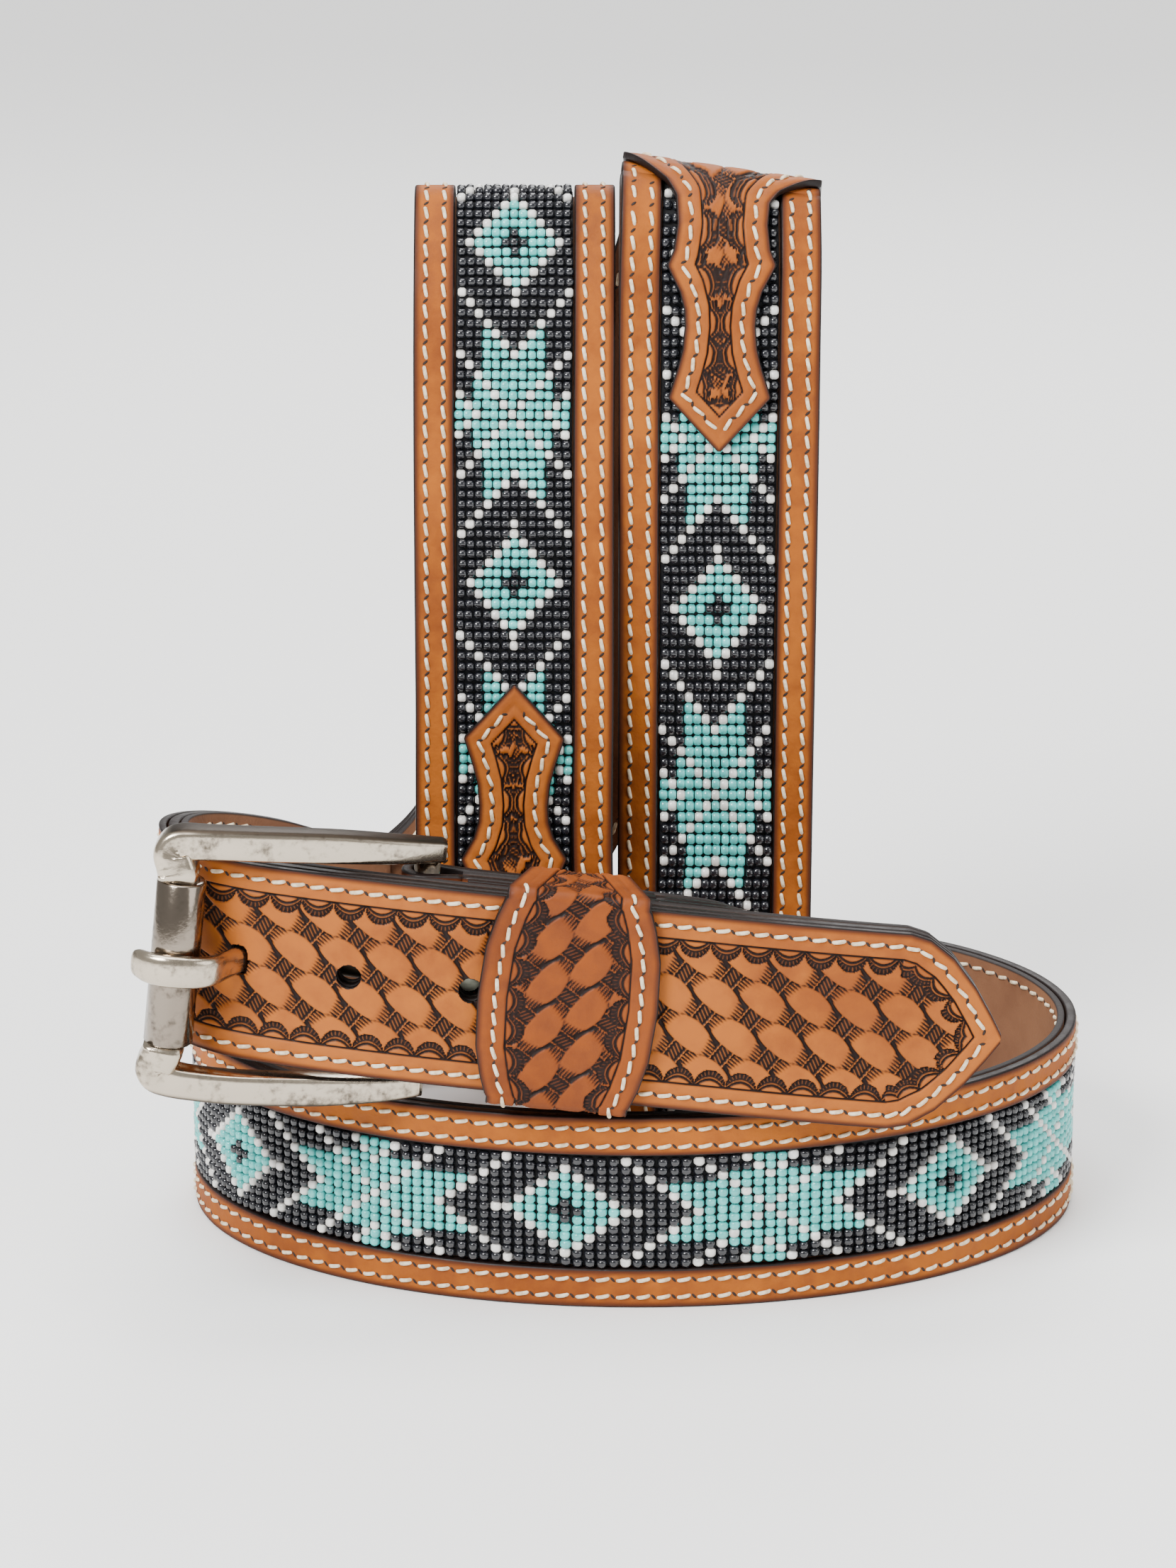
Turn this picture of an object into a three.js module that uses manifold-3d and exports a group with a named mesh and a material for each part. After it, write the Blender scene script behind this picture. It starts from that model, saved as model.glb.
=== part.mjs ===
// Western dress belt with a beaded inlay: fastened at its roller buckle and stood on a table as a ring
// with two upright folds. Millimetres, +Z up, the buckle faces -Y, the origin is on the table.
import * as THREE from "three";
import { mergeVertices } from "three/addons/utils/BufferGeometryUtils.js";
import Module from "manifold-3d";

const wasm = await Module();
wasm.setup();

// Strap layers
const STRAP_WIDTH = 38;
const LINING_THICKNESS = 1.4;
const STRAP_THICKNESS = 2.0;
const OVERLAY_THICKNESS = 1.5;
const INLAY_THICKNESS = 1.9;
const INLAY_WIDTH = 22;
const LAYER_GAP = 0.3;

// Standing shape
const RING_HALF_WIDTH = 84.5;
const RING_HALF_DEPTH = 57;
const RING_CENTRE_Y = -10;
const STANDING_HALF_DEPTH = 66;
const UPRIGHT_HEIGHT = 200;
const UPRIGHTS_CENTRE_X = -3.6;
const BILLET_SLOPE = THREE.MathUtils.degToRad(6.2);

// Strap ends
const BILLET_POINT_LENGTH = 19;
const OVERLAY_TAIL_LENGTH = 54;
const INLAY_UNDER_CHAPE = 46;
const INLAY_UNDER_BILLET = 50;
const PUNCH_DIAMETER = 4.6;
const PUNCH_PITCH = 22.2;
const FOLD_RETURN_LENGTH = 17.5;

// Buckle
const BUCKLE_LENGTH = 43.8;
const HEEL_BAR_RADIUS = 2.4;
const HEEL_BAR_X = -40.2;
const ARM_HEIGHT = 5.5;
const ARM_THICKNESS = 4.6;
const BUCKLE_OPENING = 41;
const ROLLER_LENGTH = 31.4;
const ROLLER_RADIUS = 4.5;
const ROLLER_WALL = 1.9;
const PRONG_WIDTH = 5.2;
const PRONG_THICKNESS = 2.8;

// Keeper and screw
const KEEPER_WIDTH_FRONT = 33;
const KEEPER_WIDTH_BACK = 17;
const KEEPER_THICKNESS = 1.9;
const KEEPER_X = -12.4;
const SCREW_RADIUS = 2.2;
const SCREW_HEAD_RADIUS = 4.2;
const SCREW_HEAD_THICKNESS = 1.4;

// Heights of the layers over the strap's reference surface, which runs in the gap over the lining
const liningTop = -LAYER_GAP / 2;
const liningBottom = liningTop - LINING_THICKNESS;
const strapBottom = LAYER_GAP / 2;
const strapTop = strapBottom + STRAP_THICKNESS;
const overlayBottom = strapTop + LAYER_GAP;
const overlayTop = overlayBottom + OVERLAY_THICKNESS;
const SMALL = 0.01;

// Heel bar, chape and billet planes, set one behind the other by the layers
const billetY = -1.03 * STANDING_HALF_DEPTH;
const billetBack = billetY - liningBottom;
const chapeY = billetBack + LAYER_GAP + overlayTop;
const foldBackY = chapeY - liningBottom + LAYER_GAP - strapBottom;
const heelBarY = (chapeY + foldBackY) / 2;
const foldRadius = HEEL_BAR_RADIUS + LAYER_GAP - strapBottom;
const rollerY = billetY + 4.6 - overlayTop - LAYER_GAP - ROLLER_RADIUS + 0.35;
const slopeHeight = (x) => 0.3045 * UPRIGHT_HEIGHT - (x - UPRIGHTS_CENTRE_X) * Math.tan(BILLET_SLOPE);

// The strap's route from the heel bar to the tip. x is in strap widths from the middle of the uprights,
// y in standing half-depths, z in upright heights. The face looks along turn (0 is towards the front,
// 90 to the right) and lift, both in degrees.
const CHAPE_RUN = [
  { x: -0.31, lift: 0, turn: 0 },
  { x: 0.07, lift: 0, turn: 0 },
];
const LEFT_FOLD = [
  { x: 0.34, y: -0.885, z: 0.287, turn: 32, lift: 0 },
  { x: 0.49, y: -0.735, z: 0.256, turn: 84, lift: 4 },
  { x: 0.4, y: -0.56, z: 0.218, turn: 117, lift: 22 },
  { x: 0.163, y: -0.424, z: 0.18, turn: 135, lift: 60 },
  { x: -0.126, y: -0.333, z: 0.16, turn: 110, lift: 84 },
  { x: -0.345, y: -0.258, z: 0.18, turn: 40, lift: 49 },
  { x: -0.475, y: -0.205, z: 0.235, turn: 15, lift: 17 },
  { x: -0.511, y: -0.182, z: 0.32, turn: 0, lift: 0 },
  { x: -0.511, y: -0.165, z: 0.524, turn: 0, lift: 0, point: true },
  { x: -0.511, y: -0.12, z: 0.75, turn: 0, lift: 0 },
  { x: -0.506, y: -0.06, z: 0.9, turn: 0, lift: 12 },
  { x: -0.508, y: 0.13, z: 0.975, turn: 0, lift: 88 },
  { x: -0.515, y: 0.37, z: 0.91, turn: 180, lift: 15 },
  { x: -0.49, y: 0.4, z: 0.74, turn: 180, lift: 0 },
  { x: -0.47, y: 0.43, z: 0.575, turn: 180, lift: 0 },
  { x: -0.45, y: 0.475, z: 0.425, turn: -160, lift: 0 },
  { x: -0.4, y: 0.51, z: 0.29, turn: -125, lift: 0 },
  { x: -0.37, y: 0.535, z: 0.165, turn: -96, lift: 8 },
  { x: -0.54, y: 0.565, z: 0.075, turn: -97, lift: 50 },
  { x: -0.83, y: 0.575, z: 0.058, turn: -140, lift: 74 },
  { x: -1.12, y: 0.555, z: 0.079, turn: -148, lift: 46 },
  { x: -1.4, y: 0.48, z: 0.0955, turn: -139, lift: 16 },
];
const RIGHT_FOLD = [
  { x: 1.05, y: 0.66, z: 0.095, turn: 173, lift: 0 },
  { x: 0.7, y: 0.69, z: 0.095, turn: -168, lift: 0 },
  { x: 0.45, y: 0.64, z: 0.096, turn: -141, lift: 0 },
  { x: 0.32, y: 0.53, z: 0.097, turn: -105, lift: -5 },
  { x: 0.325, y: 0.4, z: 0.091, turn: -88, lift: -30 },
  { x: 0.4, y: 0.275, z: 0.065, turn: -76, lift: -60 },
  { x: 0.49, y: 0.145, z: 0.039, turn: -30, lift: -82 },
  { x: 0.511, y: 0.025, z: 0.054, turn: 0, lift: -38 },
  { x: 0.511, y: -0.01, z: 0.13, turn: 0, lift: -4 },
  { x: 0.511, y: -0.01, z: 0.22, turn: 0, lift: 0 },
  { x: 0.511, y: -0.03, z: 0.375, turn: 0, lift: 0 },
  { x: 0.511, y: -0.076, z: 0.575, turn: 0, lift: 0 },
  { x: 0.511, y: -0.1, z: 0.75, turn: 0, lift: 0, point: true },
  { x: 0.511, y: -0.1, z: 0.86, turn: 0, lift: 0 },
  { x: 0.511, y: -0.085, z: 0.925, turn: 4, lift: 10 },
  { x: 0.511, y: -0.03, z: 0.97, turn: 12, lift: 48 },
  { x: 0.514, y: 0.075, z: 0.988, turn: 90, lift: 82 },
  { x: 0.518, y: 0.18, z: 0.97, turn: 168, lift: 48 },
  { x: 0.515, y: 0.235, z: 0.925, turn: 176, lift: 10 },
  { x: 0.34, y: 0.235, z: 0.81, turn: 178, lift: 0 },
  { x: 0.137, y: 0.2, z: 0.665, turn: 180, lift: 0 },
  { x: -0.1, y: 0.16, z: 0.52, turn: 180, lift: 0 },
  { x: -0.39, y: 0.11, z: 0.39, turn: -178, lift: 0 },
  { x: -0.73, y: 0.045, z: 0.295, turn: -172, lift: 0 },
  { x: -1.13, y: -0.05, z: 0.252, turn: -162, lift: 0 },
  { x: -1.5, y: -0.17, z: 0.27, turn: -148, lift: 0 },
  { x: -1.79, y: -0.32, z: 0.303, turn: -129, lift: 0 },
  { x: -2.025, y: -0.515, z: 0.33, turn: -106, lift: 0 },
  { x: -2.12, y: -0.7, z: 0.345, turn: -88, lift: 0 },
  { x: -2.095, y: -0.82, z: 0.348, turn: -66, lift: 0 },
];
const BILLET_RUN = [
  { x: -2.005, y: 0.885, turn: -43 },
  { x: -1.825, y: 0.943, turn: -19 },
  { x: -1.52, y: 0.977, turn: -7 },
  { x: -0.968, y: 1.0, turn: 0 },
  { x: 0.084, y: 1.0, turn: 0 },
  { x: 0.96, y: 0.993, turn: 3 },
  { x: 1.845, y: 0.955, turn: 8 },
];
const RING_START_TURN = 149;
const RING_END_TURN = 413;
const RING_ROWS = 16;

// Outline of a pointed overlay: reach from its point as a share of the tail, half-width as a share of
// the strap's
const OVERLAY_OUTLINE = [
  { reach: 0, half: 0.02 },
  { reach: 0.19, half: 0.51 },
  { reach: 0.29, half: 0.42 },
  { reach: 0.36, half: 0.37 },
  { reach: 0.44, half: 0.35 },
  { reach: 0.5, half: 0.36 },
  { reach: 0.56, half: 0.41 },
  { reach: 0.64, half: 0.54 },
  { reach: 0.69, half: 0.48 },
  { reach: 0.77, half: 0.45 },
  { reach: 0.84, half: 0.47 },
  { reach: 0.89, half: 0.57 },
  { reach: 0.95, half: 0.8 },
  { reach: 1, half: 1 },
];
// Outline of the billet's point, from its shoulders to its tip
const POINT_OUTLINE = [
  { reach: 0, half: 1 },
  { reach: 0.2, half: 0.95 },
  { reach: 0.45, half: 0.78 },
  { reach: 0.7, half: 0.5 },
  { reach: 0.88, half: 0.24 },
  { reach: 1, half: 0.05 },
];

// A face direction from its turn and lift
function faceVector(turn, lift) {
  const t = THREE.MathUtils.degToRad(turn);
  const l = THREE.MathUtils.degToRad(lift);
  return new THREE.Vector3(Math.sin(t) * Math.cos(l), -Math.cos(t) * Math.cos(l), Math.sin(l));
}

// Rows of a fold table as points and faces in millimetres
function foldRows(table) {
  return table.map((row) => ({
    at: new THREE.Vector3(
      UPRIGHTS_CENTRE_X + row.x * STRAP_WIDTH,
      row.y * STANDING_HALF_DEPTH,
      row.z * UPRIGHT_HEIGHT,
    ),
    face: faceVector(row.turn, row.lift),
    point: row.point === true,
  }));
}

function ringRows() {
  const rows = [];
  for (let i = 0; i <= RING_ROWS; i++) {
    const share = i / RING_ROWS;
    const turn = THREE.MathUtils.degToRad(RING_START_TURN + share * (RING_END_TURN - RING_START_TURN));
    rows.push({
      at: new THREE.Vector3(
        RING_HALF_WIDTH * Math.cos(turn),
        RING_CENTRE_Y + RING_HALF_DEPTH * Math.sin(turn),
        STRAP_WIDTH / 2,
      ),
      face: new THREE.Vector3(
        RING_HALF_DEPTH * Math.cos(turn),
        RING_HALF_WIDTH * Math.sin(turn),
        0,
      ).normalize(),
      point: false,
    });
  }
  return rows;
}

// A row of the sloping run at the front, at one of its two depths
function slopeRow(x, y, turn) {
  const at = new THREE.Vector3(x, y, slopeHeight(x));
  return { at, face: faceVector(turn, 0), point: false };
}

const heelRow = slopeRow(HEEL_BAR_X, chapeY, 0);
const chapeRows = CHAPE_RUN.map((row) =>
  slopeRow(UPRIGHTS_CENTRE_X + row.x * STRAP_WIDTH, chapeY, row.turn),
);
const billetRows = BILLET_RUN.map((row) =>
  slopeRow(UPRIGHTS_CENTRE_X + row.x * STRAP_WIDTH, row.y * billetY, row.turn),
);
const routeRows = [
  heelRow,
  ...chapeRows,
  ...foldRows(LEFT_FOLD),
  ...ringRows(),
  ...foldRows(RIGHT_FOLD),
  ...billetRows,
];

// The route as a smooth line with a smooth face direction
const routeLine = new THREE.CatmullRomCurve3(
  routeRows.map((row) => row.at),
  false,
  "centripetal",
);
const routeFace = new THREE.CatmullRomCurve3(
  routeRows.map((row) => row.face),
  false,
  "catmullrom",
);
const LONGEST_STEP = 24;
const LARGEST_TURN = THREE.MathUtils.degToRad(16);

function sectionAt(u) {
  const at = routeLine.getPoint(u);
  const along = routeLine.getTangent(u);
  const face = routeFace.getPoint(u);
  face.addScaledVector(along, -face.dot(along)).normalize();
  return { u, at, along, face, side: new THREE.Vector3().crossVectors(face, along) };
}

// Sections close enough for each bend and twist, with their distance along the strap
function routeSections() {
  const spans = routeRows.length - 1;
  const sections = [];
  for (let i = 0; i < spans; i++) {
    const from = sectionAt(i / spans);
    const to = sectionAt((i + 1) / spans);
    const turned = Math.max(from.along.angleTo(to.along), from.face.angleTo(to.face));
    const steps = Math.ceil(
      Math.max(from.at.distanceTo(to.at) / LONGEST_STEP, turned / LARGEST_TURN, 1),
    );
    for (let k = 0; k < steps; k++) {
      const section = sectionAt((i + k / steps) / spans);
      section.point = k === 0 && routeRows[i].point;
      sections.push(section);
    }
  }
  const last = sectionAt(1);
  last.point = false;
  sections.push(last);
  sections[0].distance = 0;
  for (let i = 1; i < sections.length; i++) {
    sections[i].distance = sections[i - 1].distance + sections[i].at.distanceTo(sections[i - 1].at);
  }
  return sections;
}

const sections = routeSections();
const strapLength = sections[sections.length - 1].distance;
const [chapePoint, billetPoint] = sections.filter((s) => s.point).map((s) => s.distance);

// A section at any distance
function sectionAtDistance(distance) {
  const clamped = Math.min(Math.max(distance, 0), strapLength);
  let i = 1;
  while (i < sections.length - 1 && sections[i].distance < clamped) i++;
  const from = sections[i - 1];
  const to = sections[i];
  const share = (clamped - from.distance) / (to.distance - from.distance);
  const section = sectionAt(from.u + share * (to.u - from.u));
  section.distance = clamped;
  return section;
}

// Half-width of an outline at a reach
function outlineHalf(outline, reach) {
  let i = 1;
  while (i < outline.length - 1 && outline[i].reach < reach) i++;
  const from = outline[i - 1];
  const to = outline[i];
  const share = (reach - from.reach) / (to.reach - from.reach);
  return from.half + (to.half - from.half) * Math.min(Math.max(share, 0), 1);
}

// Sections of one layer between two distances, with the outline's own reaches added
function layerSections(start, end, extra) {
  const distances = sections.map((s) => s.distance).filter((d) => d > start + 1 && d < end - 1);
  for (const d of extra) {
    if (d > start + SMALL && d < end - SMALL && distances.every((e) => Math.abs(e - d) > 0.8)) {
      distances.push(d);
    }
  }
  distances.sort((a, b) => a - b);
  return [start, ...distances, end].map(sectionAtDistance);
}

// A closed mesh through flat sections: half-width to each side, from low to high over the face.
// Every layer splits its width at the same columns, so that twisted layers stay parallel. A window
// leaves the middle column out between two distances.
const windowHalf = INLAY_WIDTH / 2 + LAYER_GAP;
function ribbon(list, halfAt, low, high, window) {
  const positions = [];
  let wide = 0;
  for (const s of list) {
    const half = halfAt(s.distance);
    const inner = Math.min(windowHalf, 0.72 * half);
    const columns = window === "none" ? [-half, half] : [-half, -inner, inner, half];
    wide = columns.length;
    for (const h of [low, high]) {
      for (const v of columns) {
        const p = s.at.clone().addScaledVector(s.side, v).addScaledVector(s.face, h);
        positions.push(p.x, p.y, p.z);
      }
    }
  }
  const index = [];
  const quad = (p, q, r, t) => index.push(p, q, r, p, r, t);
  const at = (i, level, column) => (i * 2 + level) * wide + column;
  const leftWall = (i, c) => quad(at(i, 0, c), at(i + 1, 0, c), at(i + 1, 1, c), at(i, 1, c));
  const rightWall = (i, c) => quad(at(i, 0, c), at(i, 1, c), at(i + 1, 1, c), at(i + 1, 0, c));
  const startWall = (i, c) => quad(at(i, 0, c), at(i, 1, c), at(i, 1, c + 1), at(i, 0, c + 1));
  const endWall = (i, c) => quad(at(i, 0, c), at(i, 0, c + 1), at(i, 1, c + 1), at(i, 1, c));
  let wasOpen = false;
  for (let i = 0; i < list.length - 1; i++) {
    const middle = (list[i].distance + list[i + 1].distance) / 2;
    const open = Boolean(window) && middle > window[0] && middle < window[1];
    for (let c = 0; c < wide - 1; c++) {
      if (open && c === 1) continue;
      quad(at(i, 0, c), at(i, 0, c + 1), at(i + 1, 0, c + 1), at(i + 1, 0, c));
      const a = at(i, 1, c);
      const far = at(i + 1, 1, c + 1);
      index.push(a, far, at(i, 1, c + 1), a, at(i + 1, 1, c), far);
    }
    leftWall(i, 0);
    rightWall(i, wide - 1);
    if (open) {
      rightWall(i, 1);
      leftWall(i, 2);
    }
    if (open && !wasOpen) endWall(i, 1);
    if (!open && wasOpen) startWall(i, 1);
    wasOpen = open;
  }
  for (let c = 0; c < wide - 1; c++) {
    startWall(0, c);
    endWall(list.length - 1, c);
  }
  return indexed(positions, index);
}

function indexed(positions, index) {
  const geometry = new THREE.BufferGeometry();
  geometry.setAttribute("position", new THREE.Float32BufferAttribute(positions, 3));
  geometry.setIndex(index);
  return geometry;
}

// Triangles over rings of points, with both ends capped
function closedTube(positions, around, rings) {
  const index = [];
  for (let i = 0; i < rings - 1; i++) {
    for (let k = 0; k < around; k++) {
      const a = i * around + k;
      const b = i * around + ((k + 1) % around);
      index.push(a, b, b + around, a, b + around, a + around);
    }
  }
  const end = (rings - 1) * around;
  for (let k = 1; k < around - 1; k++) {
    index.push(0, k + 1, k);
    index.push(end, end + k, end + k + 1);
  }
  return indexed(positions, index);
}

function solid(geometry) {
  const bare = geometry.clone();
  bare.deleteAttribute("normal");
  bare.deleteAttribute("uv");
  const merged = mergeVertices(bare, 1e-4);
  const made = new wasm.Manifold(
    new wasm.Mesh({
      numProp: 3,
      vertProperties: merged.attributes.position.array,
      triVerts: new Uint32Array(merged.index.array),
    }),
  );
  return made;
}

function geometryOf(manifold) {
  const mesh = manifold.getMesh();
  const geometry = new THREE.BufferGeometry();
  geometry.setAttribute("position", new THREE.Float32BufferAttribute(mesh.vertProperties, 3));
  geometry.setIndex(new THREE.BufferAttribute(new Uint32Array(mesh.triVerts), 1));
  return geometry;
}

// Directions of the sloping front: along it to the left, up across it, and the way back
const slopeLeft = new THREE.Vector3(-Math.cos(BILLET_SLOPE), 0, Math.sin(BILLET_SLOPE));
const slopeUp = new THREE.Vector3(Math.sin(BILLET_SLOPE), 0, Math.cos(BILLET_SLOPE));
const backward = new THREE.Vector3(0, 1, 0);
const heelBar = new THREE.Vector3(HEEL_BAR_X, heelBarY, slopeHeight(HEEL_BAR_X));
const rollerBack = rollerY - heelBarY;

// A point of the buckle: left of the heel bar, behind it, and above the buckle's middle
function bucklePoint(left, back, up) {
  return heelBar.clone().addScaledVector(slopeLeft, left).addScaledVector(backward, back)
    .addScaledVector(slopeUp, up);
}

// A round bar along one of the slope's directions
function bar(from, to, radius, sides) {
  const length = from.distanceTo(to);
  const geometry = new THREE.CylinderGeometry(radius, radius, length, sides);
  const turn = new THREE.Quaternion().setFromUnitVectors(
    new THREE.Vector3(0, 1, 0),
    to.clone().sub(from).normalize(),
  );
  geometry.applyQuaternion(turn);
  const middle = from.clone().add(to).multiplyScalar(0.5);
  geometry.translate(middle.x, middle.y, middle.z);
  return geometry;
}

const material = (color, roughness, metalness) =>
  new THREE.MeshStandardMaterial({ color, roughness, metalness });
const belt = new THREE.Group();
function addPiece(name, geometry, finish) {
  const mesh = new THREE.Mesh(geometry, finish);
  mesh.name = name;
  belt.add(mesh);
}

// Punched holes: one under the prong, which is stretched by it, two to each side
const prongRoot = BUCKLE_LENGTH * 0.62;
const punchDistances = [];
const prongPunchX = HEEL_BAR_X - BUCKLE_LENGTH * 0.765;
let prongDistance = strapLength;
for (const s of sections) {
  if (s.distance > billetPoint && s.at.y < 0 && s.at.x < prongPunchX) prongDistance = s.distance;
}
for (const step of [-2, -1, 1, 2, 3]) punchDistances.push(prongDistance + step * PUNCH_PITCH);
function punch(distance) {
  const s = sectionAtDistance(distance);
  const from = s.at.clone().addScaledVector(s.face, liningBottom - 2);
  const to = s.at.clone().addScaledVector(s.face, overlayTop + 2);
  return solid(bar(from, to, PUNCH_DIAMETER / 2, 12));
}

// Prong: an eye round the heel bar, a shank behind the billet, up through its hole and over the roller.
// left is a share of the buckle's length, front in prong thicknesses before the heel bar's axis.
const rollerFront = heelBarY - (rollerY - ROLLER_RADIUS);
const prongOnRoller = (rollerFront + LAYER_GAP) / PRONG_THICKNESS + 0.5;
const PRONG_PATH = [
  { left: 0.04, front: 1.2, wide: 0.9 },
  { left: 0.25, front: 1.02, wide: 0.9 },
  { left: 0.45, front: 0.55, wide: 0.9 },
  { left: 0.6, front: 0.3, wide: 0.92 },
  { left: 0.7, front: 1.4, wide: 0.95 },
  { left: 0.78, front: 3.4, wide: 1 },
  { left: 0.86, front: prongOnRoller - 0.6, wide: 1.1 },
  { left: 1.0, front: prongOnRoller, wide: 1.16 },
  { left: 1.1, front: prongOnRoller - 0.4, wide: 1.1 },
  { left: 1.165, front: prongOnRoller - 1.5, wide: 0.9 },
];
function prongShape(grow) {
  const line = PRONG_PATH.map(
    (row) => new THREE.Vector2(row.left * BUCKLE_LENGTH, -row.front * PRONG_THICKNESS),
  );
  const positions = [];
  line.forEach((p, i) => {
    const before = line[Math.max(i - 1, 0)];
    const after = line[Math.min(i + 1, line.length - 1)];
    const way = after.clone().sub(before).normalize();
    const across = new THREE.Vector2(way.y, -way.x);
    const half = (PRONG_WIDTH * PRONG_PATH[i].wide) / 2 + grow;
    const thick = PRONG_THICKNESS / 2 + grow;
    const bevel = 0.35;
    const corners = [
      [-thick, -half],
      [-thick, half],
      [thick * bevel, half],
      [thick, half * (1 - bevel)],
      [thick, -half * (1 - bevel)],
      [thick * bevel, -half],
    ];
    for (const [t, w] of corners) {
      const q = bucklePoint(p.x - across.x * t, p.y - across.y * t, w);
      positions.push(q.x, q.y, q.z);
    }
  });
  return closedTube(positions, 6, line.length);
}
function outwardSolid(geometry) {
  let made = solid(geometry);
  if (made.volume() < 0) {
    const flipped = geometry.clone();
    const index = flipped.index.array;
    for (let i = 0; i < index.length; i += 3) {
      [index[i + 1], index[i + 2]] = [index[i + 2], index[i + 1]];
    }
    made = solid(flipped);
  }
  return made;
}
const prongEye = outwardSolid(
  bar(bucklePoint(0, 0, -PRONG_WIDTH / 2), bucklePoint(0, 0, PRONG_WIDTH / 2), HEEL_BAR_RADIUS + 2, 16),
).subtract(
  solid(
    bar(bucklePoint(0, 0, -PRONG_WIDTH), bucklePoint(0, 0, PRONG_WIDTH), HEEL_BAR_RADIUS + LAYER_GAP, 16),
  ),
);
const prongShank = outwardSolid(prongShape(0)).subtract(
  solid(
    bar(bucklePoint(0, 0, -PRONG_WIDTH), bucklePoint(0, 0, PRONG_WIDTH), HEEL_BAR_RADIUS + LAYER_GAP, 16),
  ),
);
const prong = prongEye.add(prongShank);
const prongCut = outwardSolid(prongShape(LAYER_GAP + 0.15));

// Strap ends as half-widths along the strap
const tipStart = strapLength - BILLET_POINT_LENGTH;
const tipReaches = POINT_OUTLINE.map((row) => tipStart + row.reach * BILLET_POINT_LENGTH);
const halfAtTip = (distance, half) =>
  half * outlineHalf(POINT_OUTLINE, (distance - tipStart) / BILLET_POINT_LENGTH);
const strapHalf = (distance) => halfAtTip(distance, STRAP_WIDTH / 2);

// Holes through the layers at the billet and at the chape's screw
const screwX = HEEL_BAR_X + FOLD_RETURN_LENGTH * 0.55;
const screwAxis = (y) => new THREE.Vector3(screwX, y, slopeHeight(screwX));
const screwFront = chapeY - overlayTop;
const screwBack = foldBackY + strapTop;
const screwHole = solid(
  bar(screwAxis(screwFront - 1), screwAxis(screwBack + 1), SCREW_RADIUS + LAYER_GAP, 12),
);
function pierced(manifold) {
  let result = manifold.subtract(prongCut);
  for (const distance of punchDistances) result = result.subtract(punch(distance));
  return result.subtract(screwHole);
}

// Lining: one long strip, from just past the heel bar to the tip
const liningStart = HEEL_BAR_RADIUS + STRAP_THICKNESS + 2;
const lining = pierced(
  solid(ribbon(layerSections(liningStart, strapLength, tipReaches), strapHalf, liningBottom, liningTop)),
);
addPiece("lining", geometryOf(lining), material(0x8a5c3e, 0.75, 0));

// Outer strap: its end is folded round the heel bar and back, and a long window holds the inlay
function foldSections() {
  const list = [];
  const row = (x, y, turn, distance) => {
    const s = slopeRow(x, y, turn);
    const face = faceVector(turn, 0);
    return { at: s.at, face, side: slopeUp.clone(), distance };
  };
  list.push(row(HEEL_BAR_X + FOLD_RETURN_LENGTH, foldBackY, 180, -3));
  list.push(row(HEEL_BAR_X + foldRadius + 6, foldBackY, 180, -2));
  list.push(row(HEEL_BAR_X + foldRadius, (foldBackY + heelBarY + foldRadius) / 2, 186, -1));
  for (let angle = 90; angle <= 270; angle += 22.5) {
    const a = THREE.MathUtils.degToRad(angle);
    const x = HEEL_BAR_X + foldRadius * Math.cos(a);
    list.push(row(x, heelBarY + foldRadius * Math.sin(a), 90 + angle, 0));
  }
  return list;
}
const windowStart = chapePoint - INLAY_UNDER_CHAPE;
const windowEnd = billetPoint + INLAY_UNDER_BILLET;
const outerList = [
  ...foldSections(),
  ...layerSections(foldRadius + 4, strapLength, [windowStart, windowEnd, ...tipReaches]),
];
const openStrap = solid(
  ribbon(outerList, strapHalf, strapBottom, strapTop, [windowStart, windowEnd]),
);
const prongSlot = new THREE.BoxGeometry(2 * foldRadius + 12, 4 * foldRadius, PRONG_WIDTH + 2 * LAYER_GAP);
prongSlot.rotateY(BILLET_SLOPE);
prongSlot.translate(heelBar.x + 1.2, heelBar.y, heelBar.z);
const outerStrap = pierced(openStrap).subtract(solid(prongSlot));
addPiece("outer_strap", geometryOf(outerStrap), material(0xa9652d, 0.5, 0));

// Beaded inlay, as the plain panel that the beads fill
const inlay = solid(
  ribbon(
    layerSections(windowStart + LAYER_GAP, windowEnd - LAYER_GAP, []),
    () => INLAY_WIDTH / 2,
    strapBottom,
    strapBottom + INLAY_THICKNESS,
    "none",
  ),
);
addPiece("bead_inlay", geometryOf(inlay), material(0x1b1e22, 0.3, 0));

// Tooled overlays: one from the chape to its point, one from its point to the billet's tip
const overlayHalf = (reach) =>
  (STRAP_WIDTH / 2) * outlineHalf(OVERLAY_OUTLINE, reach / OVERLAY_TAIL_LENGTH);
const outlineReaches = OVERLAY_OUTLINE.map((row) => row.reach * OVERLAY_TAIL_LENGTH);
const chapeOverlay = outwardSolid(
  ribbon(
    layerSections(liningStart + 1, chapePoint, outlineReaches.map((r) => chapePoint - r)),
    (d) => overlayHalf(chapePoint - d),
    overlayBottom,
    overlayTop,
  ),
).subtract(screwHole);
addPiece("chape_overlay", geometryOf(chapeOverlay), material(0x9c5d2c, 0.5, 0));

const billetHalf = (d) => Math.min(overlayHalf(d - billetPoint), halfAtTip(d, STRAP_WIDTH / 2));
const billetOverlay = pierced(
  outwardSolid(
    ribbon(
      layerSections(billetPoint, strapLength, [
        ...outlineReaches.map((r) => billetPoint + r),
        ...tipReaches,
      ]),
      billetHalf,
      overlayBottom,
      overlayTop,
    ),
  ),
);
addPiece("billet_overlay", geometryOf(billetOverlay), material(0x9c5d2c, 0.5, 0));

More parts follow.
